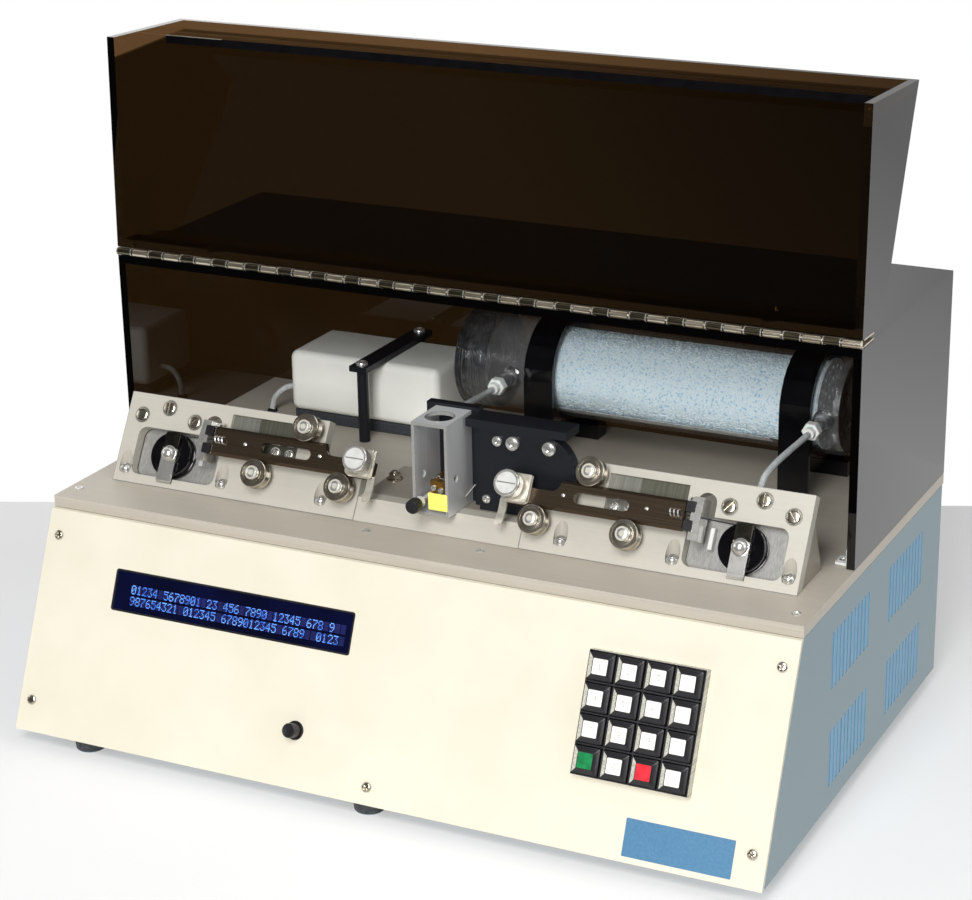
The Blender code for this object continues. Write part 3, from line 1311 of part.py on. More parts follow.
def lid(frame):
    """The smoked lid on the frame of its hinge: side wedges, hinge strip, long panel and inner lip."""
    under = KNUCKLE_RADIUS + GAP
    end = HINGE_Z - PLATE_TOP - LID_SEAT
    wedge_front = GAP / 2
    back_line = [(wedge_front, under), (LID_STRIP, under), LID_KINK, (LID_END, end)]
    shell = prism("lid", [[*back_line, (wedge_front, end)]], -RIGHT, RIGHT, "X", "smoked_acrylic", frame)
    inner = inset(back_line, ACRYLIC)
    inner[0] = (wedge_front - REACH, inner[0][1])
    run = (inner[-1][0] - inner[-2][0]) / (inner[-1][1] - inner[-2][1])
    inner[-1] = (inner[-1][0] + run * REACH, end + REACH)
    hollow = [*inner, (wedge_front - REACH, end + REACH)]
    cut(shell, prism("lid_inside", [hollow], -RIGHT + ACRYLIC, RIGHT - ACRYLIC, "X", frame=frame))
    lip_top = end - LIP_INSET
    inner_y = LID_END - ACRYLIC
    lip_low = (-RIGHT + ACRYLIC - OVERLAP, inner_y - LIP_DEPTH, lip_top - ACRYLIC)
    join(shell, box("lid_lip", lip_low, (RIGHT - ACRYLIC + OVERLAP, inner_y, lip_top), frame=frame))
    shape = bmesh.new()
    low = -KNUCKLE_RADIUS + BUMPER_BACK * math.tan(LID_LEAN)
    for side in (-1, 1):
        place_x = side * BUMPER_X
        add_rod(shape, (place_x, BUMPER_BACK, low), (place_x, BUMPER_BACK, under + OVERLAP), BUMPER_RADIUS, 16)
    join(shell, mesh_object("lid_bumpers", shape, frame=frame))


def main():
    clear_scene()
    cabinet_shell()
    base_pan()
    top_plate()
    panel_frame = frame_at("panel_frame", (0, FRONT, FOOT_HEIGHT), math.pi / 2 - PANEL_LEAN)
    front_panel(panel_frame)
    display_module(panel_frame)
    keypad_frame(panel_frame)
    keys(panel_frame)
    reset_button(panel_frame)
    power_entry()
    transformer()
    control_board()
    solenoid()
    puller_frame = frame_at("puller_frame", (0, FRONT + PULLER_FROM_FRONT, SEAT), math.pi / 2 - PULLER_LEAN)
    for side in (-1, 1):
        puller(side, puller_frame)
    centre_block()
    humidity_chamber()
    filament_block()
    heater_jaws()
    chamber_knob()
    canister()
    desiccant()
    for name, left in zip(("canister_stand_left", "canister_stand_right"), STAND_LEFTS):
        canister_stand(name, left)
    hoses()
    air_pump()
    pump_bracket()
    rear_cover()
    lid(hinge())


main()
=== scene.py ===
"""Looks of the micropipette puller: finishes for its solids, and the pieces too fine for them."""

import math

import bmesh
import bpy
from mathutils import Matrix, Vector

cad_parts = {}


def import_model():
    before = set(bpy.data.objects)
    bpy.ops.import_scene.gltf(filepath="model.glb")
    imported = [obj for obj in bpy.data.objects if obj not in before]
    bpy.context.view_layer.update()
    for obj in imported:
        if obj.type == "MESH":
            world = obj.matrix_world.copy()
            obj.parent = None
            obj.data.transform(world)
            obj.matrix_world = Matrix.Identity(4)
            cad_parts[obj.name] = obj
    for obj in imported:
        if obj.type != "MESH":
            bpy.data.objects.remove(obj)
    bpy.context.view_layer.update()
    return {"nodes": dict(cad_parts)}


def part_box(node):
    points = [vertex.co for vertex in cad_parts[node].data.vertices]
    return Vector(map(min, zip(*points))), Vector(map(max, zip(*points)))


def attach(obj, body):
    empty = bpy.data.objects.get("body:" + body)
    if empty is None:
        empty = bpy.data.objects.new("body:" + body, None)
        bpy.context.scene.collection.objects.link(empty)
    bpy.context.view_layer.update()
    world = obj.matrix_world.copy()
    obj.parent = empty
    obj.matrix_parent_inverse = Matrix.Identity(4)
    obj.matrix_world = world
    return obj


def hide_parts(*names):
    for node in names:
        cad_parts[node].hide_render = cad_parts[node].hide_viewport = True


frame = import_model()
NODES = frame["nodes"]

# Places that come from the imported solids
PLATE_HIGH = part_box("top_plate")[1]
RIGHT = PLATE_HIGH.x
BACK = PLATE_HIGH.y
FRONT = -BACK
DECK = PLATE_HIGH.z
BLOCK_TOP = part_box("centre_block")[1].z
CHAMBER_LOW, CHAMBER_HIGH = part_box("humidity_chamber")
HEATER_LOW, HEATER_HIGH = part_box("filament_block")
PUMP_LOW, PUMP_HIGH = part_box("air_pump")
BRACKET_LOW, BRACKET_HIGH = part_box("pump_bracket")
GRANULES_LOW, GRANULES_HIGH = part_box("desiccant")
CANISTER_LOW, CANISTER_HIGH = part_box("canister")
COVER_LOW, COVER_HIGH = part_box("rear_cover")
KNOB_LOW, KNOB_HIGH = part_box("chamber_knob")

# Leaning faces: the front panel, and the two puller plates
GAP = 0.0003
FOOT_HEIGHT = 0.012
PANEL_LEAN = math.atan2(0.0592, 0.1378)
PANEL = Matrix.Translation((0, FRONT, FOOT_HEIGHT)) @ Matrix.Rotation(math.pi / 2 - PANEL_LEAN, 4, "X")
PANEL_OUT = PANEL.to_3x3() @ Vector((0, 0, 1))
PULLER_FRONT = FRONT + 0.1027
PULLER_LEAN = math.radians(30.5)
PULLER = (Matrix.Translation((0, PULLER_FRONT, DECK + GAP))
          @ Matrix.Rotation(math.pi / 2 - PULLER_LEAN, 4, "X"))
PULLER_OUT = PULLER.to_3x3() @ Vector((0, 0, 1))
UPRIGHT = Matrix.Identity(4)
FROM_SIDE = Matrix(((0, 0, 1, 0), (1, 0, 0, 0), (0, 1, 0, 0), (0, 0, 0, 1)))   # x, y, z from y, z, x
FROM_REAR = Matrix(((1, 0, 0, 0), (0, 0, -1, 0), (0, 1, 0, 0), (0, 0, 0, 1)))  # x, y, z from x, z, -y
SHARP = (0, 0, 0, 0)             # corner radii of a rectangle with square corners

# Puller units: u out from the middle, s up the face, w out of the face
FACE_U = (0.0600, 0.2475)
FACE_TOP = 0.0625
FACE_STEP_U = 0.0925             # the face is lower on the middle's side of this
FACE_STEP_S = 0.0300
BAR_S = 0.0362
BAR_W = 0.0090
BAR_HALF_HEIGHT = 0.0098
BAR_HALF_THICKNESS = 0.0024
BAR_V_DEPTH = 0.0019
BAR_OUTER = 0.1703
BAR_STEP_U = 0.0850
BAR_STEP_S = 0.0382
BAR_FILLET = 0.0060
BAR_SLOT = (0.0950, 0.1330)
BAR_SLOT_HALF = 0.0036
BAR_TRAVEL = 0.026
WHEELS = ((0.1028, BAR_S + 0.0178), (0.0703, BAR_S - 0.0178), (0.1336, BAR_S - 0.0178))
WHEEL_RADIUS = 0.0095
WHEEL_HALF_WIDTH = 0.0043
WHEEL_GROOVE = 0.0076
WHEEL_BORE = 0.0027
SCREW_TOP = 0.0156
CLAMP_U = 0.0563
CLAMP_HALF = 0.0095
CLAMP_BACK = BAR_W + BAR_HALF_THICKNESS
CLAMP_FRONT = CLAMP_BACK + 0.0042
CLAMP_KNOB = (0.0545, 0.0369)
CLAMP_KNOB_RADIUS = 0.0087
CLAMP_KNOB_HEIGHT = 0.0112
FINGER_U = 0.0480
FINGER_HALF = 0.0026
PULLEY_AT = (0.2068, 0.0233)
PULLEY_RADIUS = 0.0153
PULLEY_GROOVE = 0.0135
PULLEY_WIDTH = 0.0092
PULLEY_FRONT = 0.0006
STRAP_HALF = 0.0055
PROUD = 0.00012                  # how far a dressed face stands out of its solid
STOP_U = (0.1746, 0.1808)
STOP_S = (0.0220, 0.0490)
STOP_W = 0.0105
FOOT_SCREWS = (0.0870, 0.1635, 0.2400)
PLATE_SCREWS = ((0.1940, 0.0474), (0.2157, 0.0545), (0.2360, 0.0473))
RECESS_U = (0.1120, 0.1660)
RECESS_S = (0.0300, 0.0570)
RECESS_DEPTH = 0.0020
POCKET_LOW = (BAR_OUTER - 0.0008, 0.0065)
POCKET_HIGH = (PULLEY_AT[0] + 0.0287, 0.0395)
POCKET_DEPTH = 0.0090

# Front panel
WINDOW_AT = (-0.1178, 0.1040)
WINDOW_SIZE = (0.180, 0.027)
WINDOW_FACE = -0.0004
DOT_PITCH = 0.00072
CELL_PITCH = 0.00417
DISPLAY_LEFT = 0.0134            # first cell from the left edge of the window
DISPLAY_ROWS = (0.0017, -0.0058)  # middle of each row from the middle of the window
KEYPAD_AT = (0.1755, 0.0848)
KEY_PITCH = 0.01905
KEYPAD_PROUD = 0.0065
KEY_RISE = 0.0036
KEY_SEAT = 0.0040
KEY_SKIRT = 0.0174
KEY_TOP = 0.0102
PANEL_SCREWS = ((-0.2575, 0.1326), (0.2575, 0.1326), (-0.2575, 0.0210), (0.2575, 0.0210), (0.0, 0.0114))

RESET_AT = (-0.0570, 0.0370)
RESET_RADIUS = 0.00475
RESET_PROUD = 0.0090
PATCH_CORNERS = ((0.1758, 0.0037), (0.2462, 0.0270))

# Cabinet and middle: each place is x, and how far back it lies from the front
DECK_SCREWS = ((-0.2592, 0.0803), (-0.0430, 0.0905), (0.0397, 0.0903), (0.2563, 0.0779))
BRACKET_SCREW_BACKS = (0.2405, 0.3262)
BLOCK_NUT_AT = (-0.0535, 0.1490)
FEET = ((-0.219, 0.018), (-0.006, 0.018), (0.219, 0.062), (-0.219, 0.320), (0.219, 0.320))
BLOCK_SCREWS = ((0.0373, 0.95), (0.0483, 1.3), (0.0739, 1.3))   # x and scale of the upper row
BLOCK_SCREWS_Z = 0.2206
TAG_CORNERS = ((-0.0016, 0.1760), (0.0122, 0.1876))              # x and z on the chamber's front
INLET_SOCKET = (-0.1835, 0.060)                                  # x and z in the rear wall

# Rear deck
CANISTER_Y = FRONT + 0.2860
CANISTER_Z = DECK + 0.0595
CANISTER_RADIUS = 0.0335
CANISTER_WALL = 0.0025
GRANULE_BED_RADIUS = 0.0282
CAP_LENGTH = 0.0240
FITTING_XS = (-0.0162, 0.2103)
FITTING_BODY = 0.0200
FITTING_NUT = 0.0105
HOSE_RADIUS = 0.0021
BRACKET_X = (BRACKET_LOW.x + BRACKET_HIGH.x) / 2
HINGE_Y = FRONT + 0.1545 - GAP / 2
HINGE_Z = COVER_HIGH.z + GAP + 0.00275
KNUCKLE_RADIUS = 0.00275
KNUCKLE_WIDTH = 0.0127
KNUCKLES = 42
LEAF_WIDTH = 0.0220
LEAF_THICKNESS = 0.0012
LID_LEAN = math.radians(1.74)
LID = Matrix.Translation((0, HINGE_Y, HINGE_Z)) @ Matrix.Rotation(-LID_LEAN, 4, "X")

SHEET = 0.0055                   # smoked sheet
LIP_Y = 0.0893 - SHEET - 0.0220  # front edge of the lid's inner lip, in the lid's frame
LIP_Z = (HINGE_Z - DECK - 0.0008 - 0.0070 - SHEET, HINGE_Z - DECK - 0.0008 - 0.0070)
PAINTED_LIGHT_LEVEL = 0.4368              # height on the lid above which its tint is painted paler: painted light for the brighter strip where only one sheet is in the way

VENT_COLUMNS = (0.1515, 0.2640)
VENT_ROWS = (0.0450, 0.1120)
VENT_SIZE = (0.0740, 0.0400)


def linear(code):
    """Linear colour of an sRGB hex value."""
    channels = [int(code[i:i + 2], 16) / 255 for i in (1, 3, 5)]
    return tuple(c / 12.92 if c <= 0.04045 else ((c + 0.055) / 1.055) ** 2.4 for c in channels) + (1.0,)


# Materials

def add_node(material, kind, settings=None, links=None):
    """Adds a node with its settings and links; a setting names a socket or a property."""
    node = material.node_tree.nodes.new(kind)
    for key, value in (settings or {}).items():
        if isinstance(key, int) or key in node.inputs:
            node.inputs[key].default_value = value
        else:
            setattr(node, key, value)
    for key, socket in (links or {}).items():
        material.node_tree.links.new(socket, node.inputs[key])
    return node


def finish(name, roughness, metallic=0.0, **sockets):
    """A material with its Principled shader set; each socket is named with _ for a space."""
    made = bpy.data.materials.new(name)
    made.use_nodes = True
    shader = made.node_tree.nodes["Principled BSDF"]
    shader.inputs["Roughness"].default_value = roughness
    shader.inputs["Metallic"].default_value = metallic
    for socket, value in sockets.items():
        shader.inputs[socket.replace("_", " ")].default_value = value
    return made


def to_shader(made, name, socket):
    """Links a socket to an input of the Principled shader."""
    made.node_tree.links.new(socket, made.node_tree.nodes["Principled BSDF"].inputs[name])


def grain(made, size, stretch=(1, 1, 1), detail=3.0):
    """Noise of a real size in metres on object coordinates, stretched along an axis."""
    place = add_node(made, "ShaderNodeTexCoord")
    turned_to = add_node(made, "ShaderNodeMapping", {"Scale": tuple(1 / k for k in stretch)},
                         {"Vector": place.outputs["Object"]})
    noise = add_node(made, "ShaderNodeTexNoise", {"Scale": 1 / size, "Detail": detail},
                     {"Vector": turned_to.outputs["Vector"]})
    return noise.outputs["Fac"]


def colour_from(made, pattern, dark, light, low=0.35, high=0.65):
    """Colours the shader between two hex values by a pattern."""
    spread = add_node(made, "ShaderNodeMapRange", {"From Min": low, "From Max": high}, {"Value": pattern})
    mixed = add_node(made, "ShaderNodeMix", {"data_type": "RGBA", 6: linear(dark), 7: linear(light)},
                     {0: spread.outputs["Result"]})
    to_shader(made, "Base Color", mixed.outputs[2])
    return spread.outputs["Result"]


def roughness_from(made, pattern, smoothest, roughest):
    """Spreads the shader's roughness between two values by a pattern."""
    spread = add_node(made, "ShaderNodeMapRange", {"From Min": 0.3, "From Max": 0.7, "To Min": smoothest,
                                                  "To Max": roughest}, {"Value": pattern})
    to_shader(made, "Roughness", spread.outputs["Result"])


def bump_from(made, pattern, depth):
    """Raises the surface by a pattern; the depth is in metres."""
    bump = add_node(made, "ShaderNodeBump", {"Strength": 1.0, "Distance": depth}, {"Height": pattern})
    to_shader(made, "Normal", bump.outputs["Normal"])


def surface(name, roughness, metallic, dark, light, size, stretch=(1, 1, 1), detail=3.0,
            spread=(0.35, 0.65), bump=None, gloss=None, **sockets):
    """A finish with two colours mixed by grain of a real size. Bump is a depth, and gloss is the smoothest
    and roughest value; each follows the same grain, or a grain of its own that is given after it."""
    made = finish(name, roughness, metallic, **sockets)
    pattern = grain(made, size, stretch, detail)
    colour_from(made, pattern, dark, light, *spread)
    if gloss:
        smoothest, roughest, *own = gloss
        roughness_from(made, grain(made, *own) if own else pattern, smoothest, roughest)
    if bump:
        depth, *own = bump
        bump_from(made, grain(made, *own) if own else pattern, depth)
    return made


def plain_plastic(name, dark, light):
    """Smooth moulded or printed plastic, such as the inserts in the keys."""
    return surface(name, 0.25, 0.0, dark, light, 0.004)


def printed_mark(name, dark, light):
    """Ink or self-adhesive film: nearly flat colour with the slight mottle of print."""
    return surface(name, 0.4, 0.0, dark, light, 0.0016)


def blue_enamel():
    """Grey-blue enamel on the folded shell, with the four paler fields round the vent slots."""
    made = finish("grey_blue_enamel", 0.38)
    fields = []
    place = add_node(made, "ShaderNodeTexCoord")
    axes = add_node(made, "ShaderNodeSeparateXYZ", {}, {"Vector": place.outputs["Object"]})
    for axis, middles, half in (("Y", [FRONT + column for column in VENT_COLUMNS], VENT_SIZE[0] / 2),
                                ("Z", VENT_ROWS, VENT_SIZE[1] / 2)):
        near = [add_node(made, "ShaderNodeMath", {"operation": "COMPARE", 1: middle, 2: half - 0.001},
                         {0: axes.outputs[axis]}) for middle in middles]
        fields.append(add_node(made, "ShaderNodeMath", {"operation": "MAXIMUM"},
                               {0: near[0].outputs[0], 1: near[1].outputs[0]}))
    inside = add_node(made, "ShaderNodeMath", {"operation": "MULTIPLY"},
                      {0: fields[0].outputs[0], 1: fields[1].outputs[0]})
    tone = add_node(made, "ShaderNodeMix", {"data_type": "RGBA", 6: linear("#7C939B"), 7: linear("#6E9CB8")},
                    {0: inside.outputs[0]})
    to_shader(made, "Base Color", tone.outputs[2])
    bump_from(made, grain(made, 0.0009, detail=2.0), 0.00003)
    return made


def milled_aluminium():
    """Milled aluminium, lightly blasted: pale with faint cutter lines; the ribs behind the face are coloured
    darker.
    """
    made = finish("milled_aluminium", 0.42, 0.1)
    lines = grain(made, 0.0006, (90, 1, 1), detail=2.0)
    place = add_node(made, "ShaderNodeTexCoord")
    level = PULLER_OUT.dot(PULLER.translation)
    depth = add_node(made, "ShaderNodeVectorMath", {"operation": "DOT_PRODUCT", 1: tuple(PULLER_OUT)},
                     {0: place.outputs["Object"]})
    front = add_node(made, "ShaderNodeMapRange", {"From Min": level - 0.0086, "From Max": level - 0.0082},
                     {"Value": depth.outputs["Value"]})
    light = add_node(made, "ShaderNodeMix", {"data_type": "RGBA", 6: linear("#999286"), 7: linear("#C4C0B4")},
                     {0: front.outputs["Result"]})
    tone = add_node(made, "ShaderNodeMix", {"data_type": "RGBA", "blend_type": "MULTIPLY", 0: 0.12},
                    {6: light.outputs[2], 7: lines})
    to_shader(made, "Base Color", tone.outputs[2])
    roughness_from(made, grain(made, 0.004), 0.32, 0.44)
    bump_from(made, lines, 0.000015)
    return made


def lid_acrylic():
    """The lid's smoked sheet: one brown, painted paler above a line as painted light, for the brighter strip
    where only one sheet is in the way.
    """
    made = finish("smoked_lid_sheet", 0.02, Transmission_Weight=1.0, IOR=1.49, Coat_Weight=0.06, Coat_IOR=1.7,
                  Coat_Roughness=0.03)
    place = add_node(made, "ShaderNodeTexCoord")
    axes = add_node(made, "ShaderNodeSeparateXYZ", {}, {"Vector": place.outputs["Object"]})
    level = add_node(made, "ShaderNodeMath", {"operation": "MULTIPLY_ADD", 1: -0.05}, {0: axes.outputs["Y"]})
    made.node_tree.links.new(axes.outputs["Z"], level.inputs[2])
    # Painted light: the tint turns paler above the level
    blend = 0.0003
    step = add_node(made, "ShaderNodeMapRange",
                    {"From Min": PAINTED_LIGHT_LEVEL - blend, "From Max": PAINTED_LIGHT_LEVEL + blend},
                    {"Value": level.outputs[0]})
    mixed = add_node(made, "ShaderNodeMix", {"data_type": "RGBA", 6: linear("#1C1206"), 7: linear("#584027")},
                     {0: step.outputs["Result"]})
    to_shader(made, "Base Color", mixed.outputs[2])
    return made


def lit_dots():
    """Glowing blue phosphor dots."""
    made = finish("lit_phosphor", 0.4, Emission_Strength=0.6)
    glow = colour_from(made, grain(made, 0.006), "#2B63C8", "#6FA8FF")
    tone = add_node(made, "ShaderNodeMix", {"data_type": "RGBA", 6: linear("#2A60D0"), 7: linear("#6AA4F8")},
                    {0: glow})
    to_shader(made, "Emission Color", tone.outputs[2])
    return made


def table_sheet():
    """White table sheet, softly creased; part of what the camera and reflections see of it is plain white."""
    made = finish("white_table_sheet", 0.9, Specular_IOR_Level=0.1)
    colour_from(made, grain(made, 0.35, detail=2.0), "#F4F4F4", "#FAFAFA")
    path = add_node(made, "ShaderNodeLightPath")
    camera_part = add_node(made, "ShaderNodeMath", {"operation": "MULTIPLY", 1: 0.3},
                           {0: path.outputs["Is Camera Ray"]})
    both = add_node(made, "ShaderNodeMath", {"operation": "MULTIPLY_ADD", 1: 0.85},
                    {0: path.outputs["Is Glossy Ray"], 2: camera_part.outputs[0]})
    plain = add_node(made, "ShaderNodeEmission", {"Color": (0.95, 0.95, 0.95, 1.0)})
    mixed = add_node(made, "ShaderNodeMixShader", {},
                     {0: both.outputs[0], 1: made.node_tree.nodes["Principled BSDF"].outputs[0],
                      2: plain.outputs[0]})
    made.node_tree.links.new(mixed.outputs[0], made.node_tree.nodes["Material Output"].inputs["Surface"])
    return made


# Baked enamel on sheet steel: cream, even, with a faint orange peel about 1 mm across
CREAM = surface("cream_enamel", 0.42, 0.0, "#D9D3C0", "#DED8C6", 0.05,
                bump=(0.00003, 0.0011, (1, 1, 1), 1.0), Specular_IOR_Level=0.4)
BLUE = blue_enamel()
# Painted wire gauze behind the vents: a brighter blue with fine upright wires
GAUZE = surface("painted_gauze", 0.55, 0.0, "#6B9CBD", "#7FB1D2", 0.0016, (1, 1, 60), 0.0)

# Brushed and clear anodised plate: hair lines along X about 0.4 mm apart, warm grey
PLATE = surface("brushed_anodised_aluminium", 0.45, 0.12, "#B7AFA2", "#C4BDB0", 0.0004, (180, 1, 1), 2.0,
                (0.3, 0.7), bump=(0.000015,), gloss=(0.38, 0.52))
MILLED = milled_aluminium()
# Floor of a milled recess: darker than the face, with cutter lines along the slope. The same colour paints
# the shadow rings round the slotted screws
RECESS = surface("milled_recess_aluminium", 0.34, 0.5, "#7E7F76", "#8E8E85", 0.0007, (1, 40, 40), 1.0,
                 (0.4, 0.6), bump=(0.00002,))
# Painted reflection on that floor: the part that mirrors the dark bar is painted olive grey
PAINTED_BAR_REFLECTION = surface("recess_painted_bar_reflection", 0.34, 0.5, "#59594C", "#66665A", 0.0007, (1, 40, 40), 1.0,
                 (0.4, 0.6), bump=(0.00002,))
# Floor of the pulley's pocket: grey in the shade of the plate
POCKET_FLOOR = surface("pocket_floor_aluminium", 0.4, 0.2, "#8F8E8A", "#A5A4A0", 0.004, (0.2, 1, 1))
# Extruded square tube, satin anodised: even silver grey with draw lines along its height
SILVER = surface("satin_anodised_aluminium", 0.36, 0.3, "#CBCDCE", "#D8DADB", 0.0005, (1, 1, 80), 2.0,
                 (0.3, 0.7))
# Freshly cut aluminium edges: brighter than the faces beside them
RIM = surface("cut_aluminium_edge", 0.25, 0.6, "#BEBEBB", "#CFCFCB", 0.0007)
# Black anodised aluminium: blue-black and satin, with a blasted grain of about 0.5 mm
ANODISED = surface("black_anodised_aluminium", 0.40, 0.3, "#16181E", "#1F2229", 0.0005, detail=2.0,
                   bump=(0.00002,))

# Ground steel bar with a dark bronze oxide: hair-fine grinding lines and a warm sheen
BRONZE = surface("bronzed_ground_steel", 0.24, 0.8, "#55483A", "#5F5242", 0.00025, (300, 1, 1), 1.0,
                 (0.3, 0.7), gloss=(0.20, 0.28))
# Turned and polished steel: bright, its rings too fine to see, so only a soft waver
BRIGHT = surface("turned_bright_steel", 0.24, 0.75, "#CDCBC6", "#DAD8D4", 0.006, detail=0.0)
# Oiled bearing steel of the wheels: darker and warmer than the plated screws
BEARING = surface("oiled_bearing_steel", 0.22, 0.95, "#B3AB9B", "#C8C1B3", 0.006, detail=0.0)
# Fine-turned face of a clamp knob: it spreads the light, so it stays bright
DISC = surface("fine_turned_nickel", 0.38, 0.25, "#CFCFCC", "#DBDBD8", 0.005, detail=0.0)
# Dark steel of the strap above the axle, with a hard reflection: darker than its plated lower part
DARK_STRAP_STEEL = surface("dark_strap_steel", 0.18, 0.95, "#4B483F", "#5C584E", 0.004, detail=0.0)
# Nickel-plated clamp parts: creamy silver, a little softer than chrome; the same colour paints the thin
# highlight on the lid's lip
NICKEL_AND_HIGHLIGHT = surface("nickel_plated_brass_and_lip_highlight", 0.24, 0.6, "#D2CCBC", "#E3DFD3", 0.003, detail=2.0)
# Zinc and chrome plated screws: near white metal with small dark reflections
PLATED = surface("plated_steel", 0.26, 0.8, "#CFCEC9", "#DDDCD8", 0.004, detail=0.0)
# Rolled hinge steel, nickel washed: champagne colour
HINGE = surface("nickel_washed_steel", 0.24, 0.9, "#B3A68F", "#DCD2BF", 0.002, (6, 1, 1))
# Rubbed barrels of the lid's knuckles: darker than the leaves
WORN = surface("rubbed_hinge_steel", 0.22, 0.95, "#57503F", "#6E6654", 0.002, (6, 1, 1))
# Machined brass, heated often: orange-brown bloom over the yellow
BRASS = surface("heat_bloomed_brass", 0.30, 1.0, "#8E6127", "#D2A45B", 0.005)
# Varnished steel laminations about 0.5 mm thick
LAMINATIONS = surface("varnished_laminations", 0.45, 0.4, "#3B3124", "#6B5A41", 0.0005, (80, 80, 1), 1.0)

# Gloss black acrylic strip: deep black with faint bending ripples
BLACK = surface("gloss_black_acrylic", 0.09, 0.0, "#08080A", "#0D0D10", 0.01,
                bump=(0.00006, 0.014, (1, 1, 1), 0.0))
# Moulded black ABS with a spark texture of about 0.4 mm
ABS = surface("moulded_black_abs", 0.34, 0.0, "#101013", "#1B1B1F", 0.0004, detail=2.0, bump=(0.00008,))
# Pale grey moulded skirt of the keypad, with its faint parting lines; the same pale grey paints the glare on
# the keys' left flanks
SKIRT_AND_GLARE = surface("moulded_grey_abs_and_key_glare", 0.5, 0.0, "#A9A79A", "#D2D0C4", 0.0008, (1, 60, 1), 1.0, (0.4, 0.6))
# Moulded off-white pump case: matt, with a texture of about 0.6 mm
CASE = surface("moulded_off_white_abs", 0.52, 0.0, "#EBECE5", "#F0F1EA", 0.03,
               bump=(0.00004, 0.0006, (1, 1, 1), 2.0))
# Cast acrylic sheet, smoked brown: nearly black in front of white, with a hard gloss
SMOKED = surface("smoked_acrylic_sheet", 0.02, 0.0, "#1A1005", "#1E1307", 0.08, Transmission_Weight=1.0,
                 IOR=1.49, Coat_Weight=0.06, Coat_IOR=1.7, Coat_Roughness=0.03)
# Clear acrylic tube: thin enough to let the light through, with faint marks in its gloss
CLEAR = surface("clear_acrylic_tube", 0.04, 0.0, "#D9DEE0", "#EEF2F3", 0.02, gloss=(0.03, 0.08, 0.003),
                Alpha=0.05, Specular_IOR_Level=1.0, Coat_Weight=1.0)
# Moulded clear polycarbonate cap: see-through, with bright streaks on its ribs
CAP = surface("clear_polycarbonate", 0.06, 0.0, "#7E8286", "#D8DCE0", 0.004,
              bump=(0.0003, 0.0016, (1, 6, 6)), Transmission_Weight=0.95, IOR=1.52, Coat_Weight=0.5)
# Translucent PVC hose: grey-white, with a wet gloss
HOSE = surface("translucent_pvc_hose", 0.2, 0.0, "#C8CDCD", "#E6EAEA", 0.004, Transmission_Weight=0.35,
               IOR=1.45)
# White moulded nylon: slightly see-through, waxy
NYLON = surface("moulded_white_nylon", 0.38, 0.0, "#DADDD9", "#F0F1EE", 0.003, Subsurface_Weight=0.2,
                Subsurface_Scale=0.002)
# Charcoal foam rubber pad with open cells of about 1 mm
FOAM = surface("charcoal_foam_rubber", 0.9, 0.0, "#26282D", "#41444B", 0.001, detail=2.0, bump=(0.0003,))
# Moulded grey-black rubber, dusty
RUBBER = surface("moulded_foot_rubber", 0.8, 0.0, "#2E3033", "#484A4D", 0.003)
# Black nylon-coated wire rope with its strands showing every 0.8 mm
CABLE = surface("coated_wire_rope", 0.35, 0.0, "#121214", "#2C2C30", 0.0008, detail=0.0, bump=(0.0001,))
# Green solder mask over glass cloth: weave about 0.6 mm
BOARD = surface("green_solder_mask", 0.4, 0.0, "#17552C", "#22703C", 0.0006, detail=1.0)

# Blue-white drying granules 1 to 2 mm across: matt, each of its own tint
SILICA = surface("silica_granules", 0.85, 0.0, "#93C8E8", "#E9F9FF", 0.0016, spread=(0.31, 0.45))
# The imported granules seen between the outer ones: the same speckle, deeper
SILICA_BED = surface("silica_bed", 0.9, 0.0, "#98CAE8", "#E6F8FF", 0.0016, detail=4.0, spread=(0.32, 0.46),
                     bump=(0.0006, 0.0016, (1, 1, 1), 2.0))
# Moulded sieve discs; the same pale grey paints the glint inside the canister tube
SIEVE_AND_GLINT = plain_plastic("moulded_sieve_disc_and_tube_glint", "#9FA4A6", "#CFD3D4")

# Tinted glass over the display: deep navy and glossy
GLASS = surface("navy_display_glass", 0.08, 0.0, "#05071C", "#070B2C", 0.03)
LIT = lit_dots()
# Dots that aren't lit: a shade above the navy, with a violet cast
UNLIT = surface("unlit_phosphor", 0.4, 0.0, "#0E1450", "#1C2270", 0.02)
WHITE = plain_plastic("white_key_insert", "#F2F1EA", "#FBFAF5")
GREEN = plain_plastic("green_key_insert", "#14703F", "#1F8A50")
RED = plain_plastic("red_key_insert", "#D8202E", "#EE3440")
INK = printed_mark("grey_printed_ink", "#A9A69E", "#B9B6AE")
TAG = printed_mark("yellow_film_tag", "#F0EF6A", "#F6F580")
PATCH = printed_mark("blue_film_patch", "#437599", "#4C7EA1")


# Mesh building

def placed(name, data):
    """A new object in the scene with its mesh, lamp or camera."""
    obj = bpy.data.objects.new(name, data)
    bpy.context.scene.collection.objects.link(obj)
    return obj


def discard(*objects):
    """Removes the objects that other pieces were made from."""
    for obj in objects:
        bpy.data.objects.remove(obj, do_unlink=True)


def with_modifiers(obj):
    """The mesh of an object as its modifiers leave it."""
    bpy.context.view_layer.update()
    return bpy.data.meshes.new_from_object(obj.evaluated_get(bpy.context.evaluated_depsgraph_get()))


def add_layers(shape, layers, place=UPRIGHT):
    """Adds a solid that passes through layers: each has its outlines, outer first, and a height."""
    rings = []
    for outlines, height in layers:
        rings.append([[shape.verts.new(place @ Vector((x, y, height))) for x, y in line]
                      for line in outlines])
    for lower, upper in zip(rings, rings[1:]):
        for a, b in zip(lower, upper):
            for i in range(len(a)):
                j = (i + 1) % len(a)
                shape.faces.new((a[i], a[j], b[j], b[i]))
    for end in (rings[0], rings[-1]):
        if len(end) == 1:
            shape.faces.new(end[0])
            continue
        edges = []
        for ring in end:
            edges += [shape.edges.get((ring[i], ring[(i + 1) % len(ring)])) for i in range(len(ring))]
        bmesh.ops.triangle_fill(shape, edges=edges, use_beauty=True)


